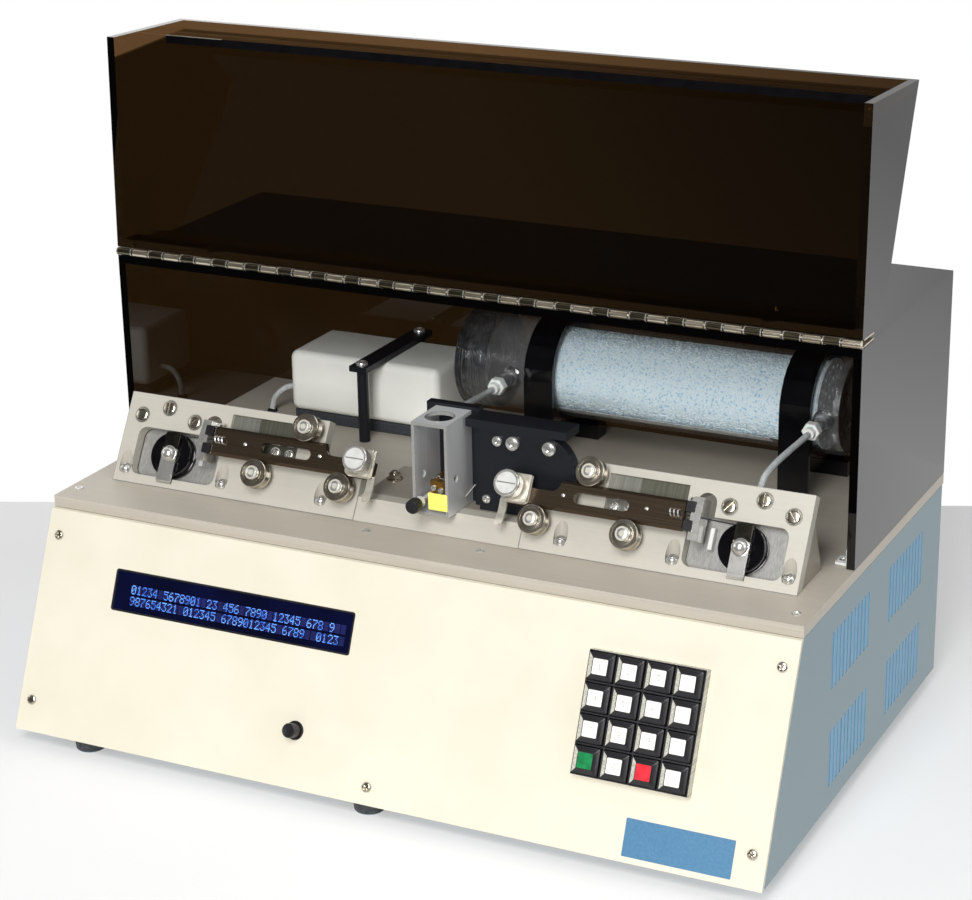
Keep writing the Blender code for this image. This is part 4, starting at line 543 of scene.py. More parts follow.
def move_in(line, distance):
    """An outline moved to its left, which is into the material."""
    moved = []
    count = len(line)
    for i in range(count):
        before, here, after = Vector(line[i - 1]), Vector(line[i]), Vector(line[(i + 1) % count])
        a, b = (here - before).normalized(), (after - here).normalized()
        normals = Vector((-a.y, a.x)), Vector((-b.y, b.x))
        bisector = (normals[0] + normals[1]).normalized()
        moved.append(tuple(here + bisector * (distance / max(bisector.dot(normals[0]), 0.3))))
    return moved


def add_plate(shape, outlines, low, high, edge, place=UPRIGHT):
    """Adds a flat piece with chamfered edges; an outline runs left-handed, a hole right-handed."""
    small = [move_in(line, edge) for line in outlines]
    add_layers(shape, [(small, low), (outlines, low + edge), (outlines, high - edge), (small, high)], place)


def add_turned(shape, profile, steps, place=UPRIGHT, closed=False):
    """Adds a round solid from (radius, height) points; a closed profile gives a ring."""
    rings = []
    for radius, height in profile:
        if radius < 1e-7:
            rings.append([shape.verts.new(place @ Vector((0, 0, height)))])
            continue
        turns = [2 * math.pi * i / steps for i in range(steps)]
        rings.append([shape.verts.new(place @ Vector((radius * math.cos(t), radius * math.sin(t), height)))
                      for t in turns])
    pairs = list(zip(rings, rings[1:]))
    if closed:
        pairs.append((rings[-1], rings[0]))
    for a, b in pairs:
        for i in range(steps):
            j = (i + 1) % steps
            corners = [a[i % len(a)], a[j % len(a)], b[j % len(b)], b[i % len(b)]]
            corners = list(dict.fromkeys(corners))
            if len(corners) > 2:
                shape.faces.new(corners)


def join_rings(shape, rings):
    """Joins rings of vertices into one closed solid."""
    for a, b in zip(rings, rings[1:]):
        for i in range(len(a)):
            j = (i + 1) % len(a)
            shape.faces.new((a[i], a[j], b[j], b[i]))
    shape.faces.new(rings[0])
    shape.faces.new(rings[-1])


def add_tube(shape, points, radius, sides=12):
    """Adds a round tube along points."""
    points = [Vector(p) for p in points]
    ahead = [(b - a).normalized() for a, b in zip(points, points[1:])]
    across = ahead[0].orthogonal().normalized()
    rings = []
    for i, point in enumerate(points):
        along = (ahead[max(i - 1, 0)] + ahead[min(i, len(ahead) - 1)]).normalized()
        across = (across - along * across.dot(along)).normalized()
        other = along.cross(across)
        rings.append([shape.verts.new(point + (across * math.cos(t) + other * math.sin(t)) * radius)
                      for t in (2 * math.pi * k / sides for k in range(sides))])
    join_rings(shape, rings)


def circle(centre, radius, steps, hole=False):
    """A round outline, left-handed, or right-handed for a hole."""
    turns = [2 * math.pi * i / steps for i in range(steps)]
    line = [(centre[0] + radius * math.cos(t), centre[1] + radius * math.sin(t)) for t in turns]
    return line[::-1] if hole else line


def rectangle(low, high, radii, steps=5, hole=False):
    """A rectangle with a corner radius for each corner, from the low left one round to the left."""
    (x0, y0), (x1, y1) = low, high
    corners = ((x0, y0, 1, 1, 180), (x1, y0, -1, 1, 270), (x1, y1, -1, -1, 0), (x0, y1, 1, -1, 90))
    line = []
    for (x, y, dx, dy, start), radius in zip(corners, radii):
        if radius <= 0:
            line.append((x, y))
            continue
        for k in range(steps + 1):
            t = math.radians(start + 90 * k / steps)
            line.append((x + dx * radius + radius * math.cos(t), y + dy * radius + radius * math.sin(t)))
    return line[::-1] if hole else line


def mirrored(line, side):
    """An outline on the right (side 1), or its mirror image on the left, kept left-handed."""
    return line if side > 0 else [(-x, y) for x, y in line][::-1]


def facing(point, direction):
    """A place at a point with its Z along a direction."""
    turn = Vector((0, 0, 1)).rotation_difference(Vector(direction).normalized()).to_matrix().to_4x4()
    return Matrix.Translation(point) @ turn


def piece(name, shape, material, body, replaces=(), angle=35):
    """A finished piece from a bmesh, riding on a body."""
    bmesh.ops.remove_doubles(shape, verts=shape.verts, dist=0.000001)
    bmesh.ops.recalc_face_normals(shape, faces=shape.faces)
    mesh = bpy.data.meshes.new(name)
    shape.to_mesh(mesh)
    shape.free()
    return piece_from_mesh(name, mesh, material, body, replaces, angle)


def piece_from_mesh(name, mesh, material, body, replaces=(), angle=35):
    """A finished piece from a mesh, riding on a body; edges sharper than the angle stay sharp."""
    mesh.materials.clear()
    mesh.materials.append(material)
    obj = placed(name, mesh)
    mesh.shade_smooth()
    mesh.set_sharp_from_angle(angle=math.radians(angle))
    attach(obj, body)
    if replaces:
        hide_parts(*replaces)
    return obj


def turned_piece(name, profile, steps, place, material, body, replaces=(), closed=False):
    """A finished round piece from its profile."""
    shape = bmesh.new()
    add_turned(shape, profile, steps, place, closed)
    piece(name, shape, material, body, replaces)


# Geometry Nodes for what repeats

def tree(name, inputs):
    """An empty node tree for a modifier, with named inputs after its geometry."""
    made = bpy.data.node_groups.new(name, "GeometryNodeTree")
    made.interface.new_socket("Geometry", in_out="INPUT", socket_type="NodeSocketGeometry")
    for label, kind in inputs:
        made.interface.new_socket(label, in_out="INPUT", socket_type=kind)
    made.interface.new_socket("Geometry", in_out="OUTPUT", socket_type="NodeSocketGeometry")
    return made


class Bench:
    """A holder that lets add_node work on a tree of any kind."""

    def __init__(self, node_tree):
        self.node_tree = node_tree


def close_tree(made, geometry, finish_socket):
    """Ends a tree in Realize Instances and Set Material."""
    bench = Bench(made)
    real = add_node(bench, "GeometryNodeRealizeInstances", {}, {"Geometry": geometry})
    painted = add_node(bench, "GeometryNodeSetMaterial", {},
                       {"Geometry": real.outputs[0], "Material": finish_socket})
    add_node(bench, "NodeGroupOutput", {}, {"Geometry": painted.outputs[0]})


def made_by(made, name, mesh, values):
    """The mesh that a tree makes from a start mesh, with its inputs set by their identifiers."""
    obj = placed(name, mesh)
    modifier = obj.modifiers.new(name, "NODES")
    modifier.node_group = made
    for item in made.interface.items_tree:
        if item.in_out == "INPUT" and item.name in values:
            modifier[item.identifier] = values[item.name]
    result = with_modifiers(obj)
    discard(obj)
    return result


def set_out_tree():
    """Sets a shape out on points: each point has a direction to face, a turn and a size."""
    made = tree("set_out", [("Shape", "NodeSocketObject"), ("Finish", "NodeSocketMaterial")])
    bench = Bench(made)
    start = add_node(bench, "NodeGroupInput")
    shape = add_node(bench, "GeometryNodeObjectInfo", {"transform_space": "ORIGINAL"},
                     {"Object": start.outputs["Shape"]})
    faces = add_node(bench, "GeometryNodeInputNamedAttribute",
                     {"data_type": "FLOAT_VECTOR", "Name": "facing"})
    turn = add_node(bench, "GeometryNodeInputNamedAttribute", {"data_type": "FLOAT", "Name": "turn"})
    scale = add_node(bench, "GeometryNodeInputNamedAttribute", {"data_type": "FLOAT", "Name": "size"})
    align = add_node(bench, "FunctionNodeAlignRotationToVector", {"axis": "Z"}, {"Vector": faces.outputs[0]})
    spin = add_node(bench, "FunctionNodeAxisAngleToRotation", {}, {"Angle": turn.outputs[0]})
    both = add_node(bench, "FunctionNodeRotateRotation", {"rotation_space": "LOCAL"},
                    {"Rotation": align.outputs[0], "Rotate By": spin.outputs[0]})
    copies = add_node(bench, "GeometryNodeInstanceOnPoints", {},
                      {"Points": start.outputs["Geometry"], "Instance": shape.outputs["Geometry"],
                       "Rotation": both.outputs[0], "Scale": scale.outputs[0]})
    close_tree(made, copies.outputs[0], start.outputs["Finish"])
    return made


def set_out(name, shape, places, material):
    """One mesh of a shape on every place: (point, direction, turn, scale)."""
    points = bpy.data.meshes.new(name + "_points")
    points.from_pydata([tuple(p[0]) for p in places], [], [])
    directions = [component for p in places for component in Vector(p[1]).normalized()]
    points.attributes.new("facing", "FLOAT_VECTOR", "POINT").data.foreach_set("vector", directions)
    points.attributes.new("turn", "FLOAT", "POINT").data.foreach_set("value", [p[2] for p in places])
    points.attributes.new("size", "FLOAT", "POINT").data.foreach_set("value", [p[3] for p in places])
    return made_by(SET_OUT, name, points, {"Shape": shape, "Finish": material})


def granule_tree():
    """Scatters faceted grains over a surface, each turned and sized by a fixed seed."""
    made = tree("granules", [("Grain", "NodeSocketFloat"), ("Density", "NodeSocketFloat"),
                             ("Seed", "NodeSocketInt"), ("Finish", "NodeSocketMaterial")])
    bench = Bench(made)
    start = add_node(bench, "NodeGroupInput")
    points = add_node(bench, "GeometryNodeDistributePointsOnFaces", {"distribute_method": "RANDOM"},
                      {"Mesh": start.outputs["Geometry"], "Density": start.outputs["Density"],
                       "Seed": start.outputs["Seed"]})
    stone = add_node(bench, "GeometryNodeMeshIcoSphere", {"Subdivisions": 1},
                     {"Radius": start.outputs["Grain"]})
    turn = add_node(bench, "FunctionNodeRandomValue",
                    {"data_type": "FLOAT_VECTOR", "Max": (6.28, 6.28, 6.28)}, {"Seed": start.outputs["Seed"]})
    size = add_node(bench, "FunctionNodeRandomValue", {"data_type": "FLOAT", 2: 0.6, 3: 1.25},
                    {"Seed": start.outputs["Seed"]})
    copies = add_node(bench, "GeometryNodeInstanceOnPoints", {},
                      {"Points": points.outputs["Points"], "Instance": stone.outputs["Mesh"],
                       "Rotation": turn.outputs[0], "Scale": size.outputs[1]})
    close_tree(made, copies.outputs[0], start.outputs["Finish"])
    return made


def ribs_tree():
    """Ribs round an axis along Z, such as a knurl or the grip of a cap."""
    made = tree("ribs", [("Count", "NodeSocketInt"), ("Radius", "NodeSocketFloat"),
                         ("Length", "NodeSocketFloat"), ("Width", "NodeSocketFloat"),
                         ("Finish", "NodeSocketMaterial")])
    bench = Bench(made)
    start = add_node(bench, "NodeGroupInput")
    ring = add_node(bench, "GeometryNodeMeshCircle", {},
                    {"Vertices": start.outputs["Count"], "Radius": start.outputs["Radius"]})
    rib = add_node(bench, "GeometryNodeMeshCylinder", {"Vertices": 6},
                   {"Radius": start.outputs["Width"], "Depth": start.outputs["Length"]})
    copies = add_node(bench, "GeometryNodeInstanceOnPoints", {},
                      {"Points": ring.outputs["Mesh"], "Instance": rib.outputs["Mesh"]})
    close_tree(made, copies.outputs[0], start.outputs["Finish"])
    return made


def ribs(name, count, radius, length, width, material, place):
    """A mesh of ribs round the Z of a place."""
    made = made_by(RIBS, name, bpy.data.meshes.new(name + "_start"),
                   {"Count": count, "Radius": radius, "Length": length, "Width": width, "Finish": material})
    made.transform(place)
    return made


def row_tree():
    """Round knuckles in a row along X, every other one of a piano hinge."""
    made = tree("knuckle_row", [("Count", "NodeSocketInt"), ("Pitch", "NodeSocketFloat"),
                                ("Radius", "NodeSocketFloat"), ("Length", "NodeSocketFloat"),
                                ("Finish", "NodeSocketMaterial")])
    bench = Bench(made)
    start = add_node(bench, "NodeGroupInput")
    step = add_node(bench, "ShaderNodeCombineXYZ", {}, {"X": start.outputs["Pitch"]})
    row = add_node(bench, "GeometryNodeMeshLine", {"mode": "OFFSET"},
                   {"Count": start.outputs["Count"], "Offset": step.outputs[0]})
    barrel = add_node(bench, "GeometryNodeMeshCylinder", {"Vertices": 20},
                      {"Radius": start.outputs["Radius"], "Depth": start.outputs["Length"]})
    laid = add_node(bench, "GeometryNodeTransform", {"Rotation": (0, math.pi / 2, 0)},
                    {"Geometry": barrel.outputs["Mesh"]})
    copies = add_node(bench, "GeometryNodeInstanceOnPoints", {},
                      {"Points": row.outputs["Mesh"], "Instance": laid.outputs["Geometry"]})
    close_tree(made, copies.outputs[0], start.outputs["Finish"])
    return made


SET_OUT = set_out_tree()
RIBS = ribs_tree()
GRANULES = granule_tree()
KNUCKLE_ROW = row_tree()


# Screws

def loose(name, shape):
    """An object that other pieces are made from, and that doesn't stay in the scene."""
    bmesh.ops.recalc_face_normals(shape, faces=shape.faces)
    mesh = bpy.data.meshes.new(name)
    shape.to_mesh(mesh)
    shape.free()
    return placed(name, mesh)


def domed(radius, height, socket=None, slot=None, cross=None, steps=24):
    """A screw head as a shape to set out: a low dome with a socket, a slot or a cross."""
    shape = bmesh.new()
    rise = height * 0.45
    profile = [(0.0, 0.0), (radius, 0.0), (radius, height - rise), (radius * 0.9, height - rise * 0.45),
               (radius * 0.66, height - rise * 0.12)]
    if socket:
        profile += [(socket * 1.12, height), (socket, height - radius * 0.06), (socket, height * 0.35),
                    (0.0, height * 0.3)]
    else:
        profile += [(radius * 0.35, height), (0.0, height)]
    add_turned(shape, profile, steps)
    head = loose("screw_head", shape)
    bars = []
    if slot:
        bars = [(radius * 1.2, slot / 2)]
    if cross:
        bars = [(radius * 0.6, cross / 2), (cross / 2, radius * 0.6)]
    for across, along in bars:
        tool_shape = bmesh.new()
        box_line = rectangle((-across, -along), (across, along), SHARP)
        add_layers(tool_shape, [([box_line], height * 0.42), ([box_line], height * 1.5)])
        tool = loose("slot_tool", tool_shape)
        cutter = head.modifiers.new("slot", "BOOLEAN")
        cutter.object = tool
        cutter.operation = "DIFFERENCE"
        cutter.solver = "EXACT"
        cut_mesh = with_modifiers(head)
        head.modifiers.clear()
        head.data = cut_mesh
        discard(tool)
    return head


def screws(name, head, places, material=PLATED):
    """All the screws of one kind on the cabinet."""
    mesh = set_out(name, head, places, material)
    piece_from_mesh(name, mesh, material, "cabinet")


def cabinet_screws():
    """Cross-recess screws on the panel, low domes on the deck, and those on the block and bracket."""
    cross = domed(0.0033, 0.0017, cross=0.0012)
    places = [(PANEL @ Vector((x, s, 0.0)), PANEL_OUT, 0.4 + i * 0.5, 1.0)
              for i, (x, s) in enumerate(PANEL_SCREWS)]
    screws("panel_screws", cross, places, BEARING)
    low = domed(0.0030, 0.0007, cross=0.0010)
    places = [((x, FRONT + back, DECK), (0, 0, 1), i * 0.6, 1.0) for i, (x, back) in enumerate(DECK_SCREWS)]
    places.append(((RIGHT - 0.0110, COVER_LOW.y + 0.0105, DECK + 0.0018), (0, 0, 1), 0.2, 0.9))
    screws("deck_screws", low, places)
    socket = domed(0.0036, 0.0022, socket=0.0016)
    front = HEATER_LOW.y
    places = [((x, front, BLOCK_SCREWS_Z), (0, -1, 0), 0.3, k) for x, k in BLOCK_SCREWS]
    places.append(((0.0290, front, 0.1800), (0, -1, 0), 0.0, 0.8))
    screws("block_screws", socket, places)
    places = [((BRACKET_X, FRONT + back, BRACKET_HIGH.z), (0, 0, 1), 0.5, 1.2)
              for back in BRACKET_SCREW_BACKS]
    screws("bracket_screws", socket, places)
    discard(cross, low, socket)


def nut_outline(across):
    """A hexagon with its width across flats."""
    return circle((0, 0), across / math.sqrt(3), 6)


def block_nut():
    """The hex nut and its stud on the centre block, left of the chamber."""
    shape = bmesh.new()
    place = Matrix.Translation((BLOCK_NUT_AT[0], FRONT + BLOCK_NUT_AT[1], BLOCK_TOP))
    add_turned(shape, [(0, 0), (0.0056, 0), (0.0056, 0.0008), (0, 0.0008)], 28, place)
    add_plate(shape, [nut_outline(0.0075)], 0.0008, 0.0040, 0.0003, place)
    stud = [(0, 0.004), (0.0022, 0.004), (0.0022, 0.0056), (0.0018, 0.0060), (0, 0.0060)]
    add_turned(shape, stud, 20, place)
    piece("block_nut", shape, BEARING, "cabinet")


# Puller units

def bar_outline(side, shrink=0.0):
    """The bar seen from the front, with the step down to its clamp end."""
    top = BAR_S + BAR_HALF_HEIGHT - shrink
    low = BAR_S - BAR_HALF_HEIGHT + shrink
    inner, outer = CLAMP_U - CLAMP_HALF + 0.0005, BAR_OUTER - shrink * 0.3
    line = [(inner, low), (outer, low), (outer, top)]
    line.append((BAR_STEP_U + shrink * 0.2, top))
    centre = (BAR_STEP_U - BAR_FILLET, BAR_STEP_S + BAR_FILLET)
    for k in range(7):
        t = math.radians(-90 * k / 6)
        line.append((centre[0] + BAR_FILLET * math.cos(t), centre[1] + BAR_FILLET * math.sin(t)))
    line.append((inner, BAR_STEP_S))
    return mirrored(line, side)


def bar(side, name, body):
    """The sliding bar: V edges top and bottom, a long slot and two small holes."""
    shape = bmesh.new()
    flat = bar_outline(side, BAR_V_DEPTH)
    ridge = bar_outline(side)
    slot = rectangle((BAR_SLOT[0], BAR_S - BAR_SLOT_HALF), (BAR_SLOT[1], BAR_S + BAR_SLOT_HALF),
                     (BAR_SLOT_HALF * 0.98,) * 4, 5)
    slot = mirrored(slot, side)[::-1]
    add_layers(shape, [([flat, slot], BAR_W - BAR_HALF_THICKNESS), ([ridge, slot], BAR_W - 0.0002),
                       ([ridge, slot], BAR_W + 0.0002), ([flat, slot], BAR_W + BAR_HALF_THICKNESS)], PULLER)
    piece(f"bar_{name}", shape, BRONZE, body, (f"puller_bar_{name}",), angle=20)
    pins = bmesh.new()
    for u in (0.0880, 0.1450):
        place = PULLER @ Matrix.Translation((side * u, BAR_S + 0.0004, BAR_W + BAR_HALF_THICKNESS))
        dome = [(0.0, -0.0004), (0.0012, -0.0004), (0.0012, 0.0002), (0.0006, 0.0005), (0.0, 0.0006)]
        add_turned(pins, dome, 16, place)
    piece(f"bar_pins_{name}", pins, PLATED, body, (f"puller_bar_{name}",))


def clamp(side, name, body):
    """The clamp at the bar's inner end: two nickel-plated plates with round lower corners, and the hook."""
    shape = bmesh.new()
    low, high = CLAMP_U - CLAMP_HALF, CLAMP_U + CLAMP_HALF
    back = rectangle((low, BAR_S - CLAMP_HALF), (high, BAR_S + CLAMP_HALF), (0.0030, 0.0030, 0.0008, 0.0008))
    front = rectangle((low + 0.0008, BAR_S - CLAMP_HALF + 0.0006), (high, BAR_S + CLAMP_HALF),
                      (0.0032, 0.0032, 0.0008, 0.0008))
    add_plate(shape, [mirrored(back, side)], CLAMP_BACK, CLAMP_BACK + 0.0016, 0.0002, PULLER)
    add_plate(shape, [mirrored(front, side)], CLAMP_BACK + 0.0017, CLAMP_FRONT, 0.0003, PULLER)
    top = BAR_S - BAR_HALF_HEIGHT + BAR_V_DEPTH + 0.0005
    rings = []
    steps = 14
    for i in range(steps + 1):
        t = i / steps
        s = top - 0.0175 * t
        w = BAR_W - 0.0018 * t + 0.0053 * t ** 3
        half = FINGER_HALF * (1.0 if t < 0.85 else math.sqrt(max(1 - ((t - 0.85) / 0.15) ** 2, 0.12)))
        rings.append([shape.verts.new(PULLER @ Vector((side * FINGER_U + dx, s, w + dw)))
                      for dx, dw in ((-half, 0.0), (half, 0.0), (half, 0.0015), (-half, 0.0015))])
    join_rings(shape, rings)
    piece(f"clamp_{name}", shape, NICKEL_AND_HIGHLIGHT, body, (f"puller_bar_{name}",))

    coils = bmesh.new()
    for k in range(3):
        u = BAR_OUTER - 0.0035 - k * 0.0026
        place = PULLER @ facing((side * u, BAR_S + 0.0006, CLAMP_BACK + 0.0006), (1, 0.25, 0))
        add_turned(coils, ring_section(0.0024, 0.0006), 20, place, closed=True)
    piece(f"cable_clasp_{name}", coils, PLATED, body, (f"puller_bar_{name}",))


def ring_section(radius, wire):
    """Profile of a wire ring about Z."""
    steps = 8
    turns = [2 * math.pi * i / steps for i in range(steps)]
    return [(radius + wire * math.cos(t), wire * math.sin(t)) for t in turns]


def clamp_knob(side, name, body):
    """The clamp's knob: a bright slotted face in a chrome rim, with a knurled edge."""
    node = (f"clamp_knob_{name}",)
    r, h = CLAMP_KNOB_RADIUS, CLAMP_KNOB_HEIGHT
    place = PULLER @ Matrix.Translation((side * CLAMP_KNOB[0], CLAMP_KNOB[1], CLAMP_FRONT + GAP))
    profile = [(0.0, 0.0), (r * 0.8, 0.0), (r * 0.8, 0.0018), (r * 0.96, 0.0026), (r * 0.96, h - 0.0024),
               (r, h - 0.0020), (r, h - 0.0006), (r - 0.0005, h), (r - 0.0014, h), (r - 0.0017, h - 0.0006),
               (r * 0.5, h - 0.0005), (0.0, h - 0.0005)]
    turned_piece(f"clamp_disc_{name}", profile, 48, place, BRIGHT, body, node)
    disc = [(0.0, h - 0.0007), (r * 0.79, h - 0.0007), (r * 0.79, h - 0.0004), (0.0, h - 0.00035)]
    turned_piece(f"clamp_face_{name}", disc, 48, place, DISC, body, node)
    cut_line = bmesh.new()
    line = rectangle((-r * 0.74, -0.00035), (r * 0.74, 0.00035), (0.0002,) * 4, 2)
    add_layers(cut_line, [([line], h - 0.0005), ([line], h - 0.00025)], place)
    piece(f"clamp_line_{name}", cut_line, RECESS, body, node)
    mesh = ribs(f"clamp_grip_{name}", 44, r * 0.955, h - 0.0052, 0.00028, BRIGHT,
                place @ Matrix.Translation((0, 0, (h + 0.0002) / 2)))
    piece_from_mesh(f"clamp_grip_{name}", mesh, BRIGHT, body, node)


def v_wheel(side, name, number, at):
    """A V wheel: chamfered rims, the groove, and a stepped face like a bearing's."""
    half, r = WHEEL_HALF_WIDTH, WHEEL_RADIUS
    edge = 0.0004
    face = [(r - edge, half), (r * 0.88, half), (r * 0.85, half - 0.0009), (r * 0.78, half - 0.0009),
            (r * 0.75, half - 0.0001), (r * 0.66, half), (r * 0.62, half - 0.0008), (r * 0.56, half - 0.0008),
            (WHEEL_BORE, half - 0.0008)]
    back = [(radius, -height) for radius, height in reversed(face)]
    groove = [(r, -half + edge), (r, -BAR_HALF_THICKNESS), (WHEEL_GROOVE, 0.0), (r, BAR_HALF_THICKNESS),
              (r, half - edge)]
    place = PULLER @ Matrix.Translation((side * at[0], at[1], BAR_W))
    turned_piece(f"wheel_rim_{name}_{number}", face + back + groove, 48, place, BEARING,
                 f"wheel_{name}_{number}", (f"v_wheel_{name}_{number}",), closed=True)


def wheel_heads(side, name):
    """The domed heads that hold the wheels, each with its socket, on the shoulder screws."""
    head = domed(0.00475, 0.0023, socket=0.0017, steps=28)
    places = [(PULLER @ Vector((side * u, s, SCREW_TOP - 0.0021)), PULLER_OUT, 0.3, 1.0)
              for u, s in WHEELS]
    screws(f"wheel_heads_{name}", head, places)
    discard(head)


def pulley(side, name):
    """The cable pulley: gloss black with a round groove and a lipped face."""
    half, r = PULLEY_WIDTH / 2, PULLEY_RADIUS
    groove = [(r - (r - PULLEY_GROOVE) * math.sin(math.radians(t)), half * 0.5 * math.cos(math.radians(t)))
              for t in range(0, 181, 20)]
    front = [(WHEEL_BORE, half - 0.0006), (r * 0.40, half - 0.0006), (r * 0.42, half - 0.0001),
             (r * 0.52, half - 0.0001), (r * 0.54, half - 0.0009), (r * 0.84, half - 0.0009),
             (r * 0.87, half), (r - 0.0004, half), (r, half - 0.0004)]
    back = [(radius, -height) for radius, height in reversed(front)]
    place = PULLER @ Matrix.Translation((side * PULLEY_AT[0], PULLEY_AT[1], PULLEY_FRONT - half))
    turned_piece(f"pulley_wheel_{name}", front + groove + back, 56, place, BLACK, f"pulley_{name}",
                 (f"pulley_{name}",), closed=True)


def pulley_strap(side, name):
    """The strap in front of the pulley, plated from its foot on the face up to the axle and dark above it,
    and its nut.
    """
    shape = bmesh.new()
    u, s = side * PULLEY_AT[0], PULLEY_AT[1]
    half = STRAP_HALF + PROUD
    under = PULLEY_FRONT + GAP - PROUD
    over = PULLEY_FRONT + GAP + 0.0015 + PROUD
    foot = 0.0035 - PROUD
    line = rectangle((u - half, 0.0065), (u + half, s + 0.0040), SHARP)
    add_plate(shape, [line], under, over, 0.0002, PULLER)
    # Above the axle the strap is coloured dark steel; below it, plated steel.
    upper = bmesh.new()
    line = rectangle((u - half, s + 0.0035), (u + half, s + PULLEY_RADIUS), (0, 0, 0.0015, 0.0015), 3)
    add_plate(upper, [line], under, over - 0.0001, 0.0002, PULLER)
    piece(f"strap_back_{name}", upper, DARK_STRAP_STEEL, "cabinet")
    step = rectangle((u - half, foot), (u + half, 0.0068), SHARP)
    add_layers(shape, [([step], 0.0), ([step], under + 0.0006)], PULLER)
    bend = [(foot, -0.0002), (0.0065, -0.0002), (0.0068, over), (foot + 0.0015, over), (foot, over - 0.0015)]
    ends = []
    for x in (u - half, u + half):
        ends.append([shape.verts.new(PULLER @ Vector((x, a, b))) for a, b in bend])
    join_rings(shape, ends)
    piece(f"strap_{name}", shape, PLATED, "cabinet")
    place = PULLER @ Matrix.Translation((u, s, over - 0.0003))
    r = 0.00515
    dome = [(r * math.cos(math.radians(t)), 0.0044 * math.sin(math.radians(t))) for t in range(0, 91, 10)]
    profile = ([(0.0, 0.0), (r * 1.12, 0.0), (r * 1.12, 0.0006), (r, 0.0008)]
               + [(a, b + 0.0008) for a, b in dome[1:-1]] + [(0.0, 0.0052)])
    turned_piece(f"dome_nut_{name}", profile, 36, place, BRIGHT, "cabinet")


def outer_stop(side, name):
    """The chrome clip at the slot and its two knurled black pads."""
    shape = bmesh.new()
    low, high, front = STOP_S[0] - PROUD, STOP_S[1] + PROUD, STOP_W + PROUD
    under, peak = -0.0021, front + 0.0014
    section = [(low, under), (low, front), (BAR_S - 0.0010, peak), (BAR_S + 0.0010, peak), (high, front),
               (high, under)]
    ends = []
    for u in (STOP_U[0] - PROUD, STOP_U[1] + PROUD):
        ends.append([shape.verts.new(PULLER @ Vector((side * u, s, w))) for s, w in section])
    join_rings(shape, ends)
    clip = rectangle((0.1700, BAR_S + 0.0102), (0.1760, STOP_S[1] + PROUD), (0.0014, 0.0, 0.0, 0.0014), 3)
    add_plate(shape, [mirrored(clip, side)], 0.0, 0.0048, 0.0003, PULLER)
    piece(f"stop_clip_{name}", shape, PLATED, "cabinet")
    pads = bmesh.new()
    for middle in (-0.0060, 0.0060):
        pad = rectangle((0.1707, BAR_S + middle - 0.0034), (0.1768, BAR_S + middle + 0.0034),
                        (0.0008,) * 4, 2)
        add_plate(pads, [mirrored(pad, side)], BAR_W - 0.0032, STOP_W + 0.0021, 0.0003, PULLER)
        for k in range(6):
            s = BAR_S + middle - 0.0030 + k * 0.0012
            rib = rectangle((0.1712, s - 0.0003), (0.1763, s + 0.0003), SHARP)
            add_plate(pads, [mirrored(rib, side)], STOP_W, STOP_W + 0.0025, 0.0001, PULLER)
    piece(f"stop_pads_{name}", pads, ABS, "cabinet")


def pocket_floor(side, name):
    """The pale floor of the pulley's pocket, a chrome arc round the pulley and the small guide beside it."""
    floor = bmesh.new()
    line = mirrored(rectangle(POCKET_LOW, POCKET_HIGH, (0.006,) * 4, 4), side)
    add_layers(floor, [([line], -POCKET_DEPTH - 0.0006), ([line], -POCKET_DEPTH)], PULLER)
    piece(f"pocket_floor_{name}", floor, POCKET_FLOOR, "cabinet")
    arc = bmesh.new()
    u, s = PULLEY_AT
    r = 0.0163
    points = [PULLER @ Vector((side * u - r * math.cos(t), s + r * math.sin(t), -0.0070))
              for t in (math.radians(degrees) for degrees in range(-70, 71, 10))]
    add_tube(arc, points, 0.0007, 8)
    guide = rectangle((u - 0.0235, s - 0.0040), (u - 0.0205, s + 0.0100), (0.0004,) * 4, 2)
    add_plate(arc, [mirrored(guide, side)], -POCKET_DEPTH, -0.0040, 0.0003, PULLER)
    piece(f"pulley_guard_{name}", arc, DISC, "cabinet")


def plate_screws(side, name):
    """Slotted screws along the top of the face with a painted shadow ring round each, and cap screws in the U
    pockets at its foot.
    """
    slotted = domed(0.0046, 0.0015, slot=0.0010, steps=28)
    places = [(PULLER @ Vector((side * u, s, 0.0002)), PULLER_OUT, 0.9 + i * 0.7, 1.0)
              for i, (u, s) in enumerate(PLATE_SCREWS)]
    screws(f"slotted_screws_{name}", slotted, places, BEARING)
    cap = domed(0.0044, 0.0042, socket=0.0025, steps=24)
    places = [((side * u, PULLER_FRONT + 0.0066, DECK + 0.0058), (0, 0, 1), 0.0, 1.0) for u in FOOT_SCREWS]
    screws(f"cap_screws_{name}", cap, places)
    small = domed(0.0030, 0.0016, cross=0.0009)
    places = [(PULLER @ Vector((side * u, BAR_S, -RECESS_DEPTH)), PULLER_OUT, 0.5, k)
              for u, k in ((0.1180, 1.1), (0.1286, 1.2))]
    screws(f"recess_screws_{name}", small, places)
    discard(slotted, cap, small)
    # Painted shadow: a dark ring round each slotted screw stands in for the shade in the hole it sits in.
    shadow_rings = bmesh.new()
    for u, s in PLATE_SCREWS:
        place = PULLER @ Matrix.Translation((side * u, s, 0.0))
        shadow_ring = [(0.0043, -0.0002), (0.0056, -0.0002), (0.0056, 0.00008), (0.0043, 0.00008)]
        add_turned(shadow_rings, shadow_ring, 32, place, closed=True)
    piece(f"screw_seats_{name}", shadow_rings, RECESS, "cabinet")


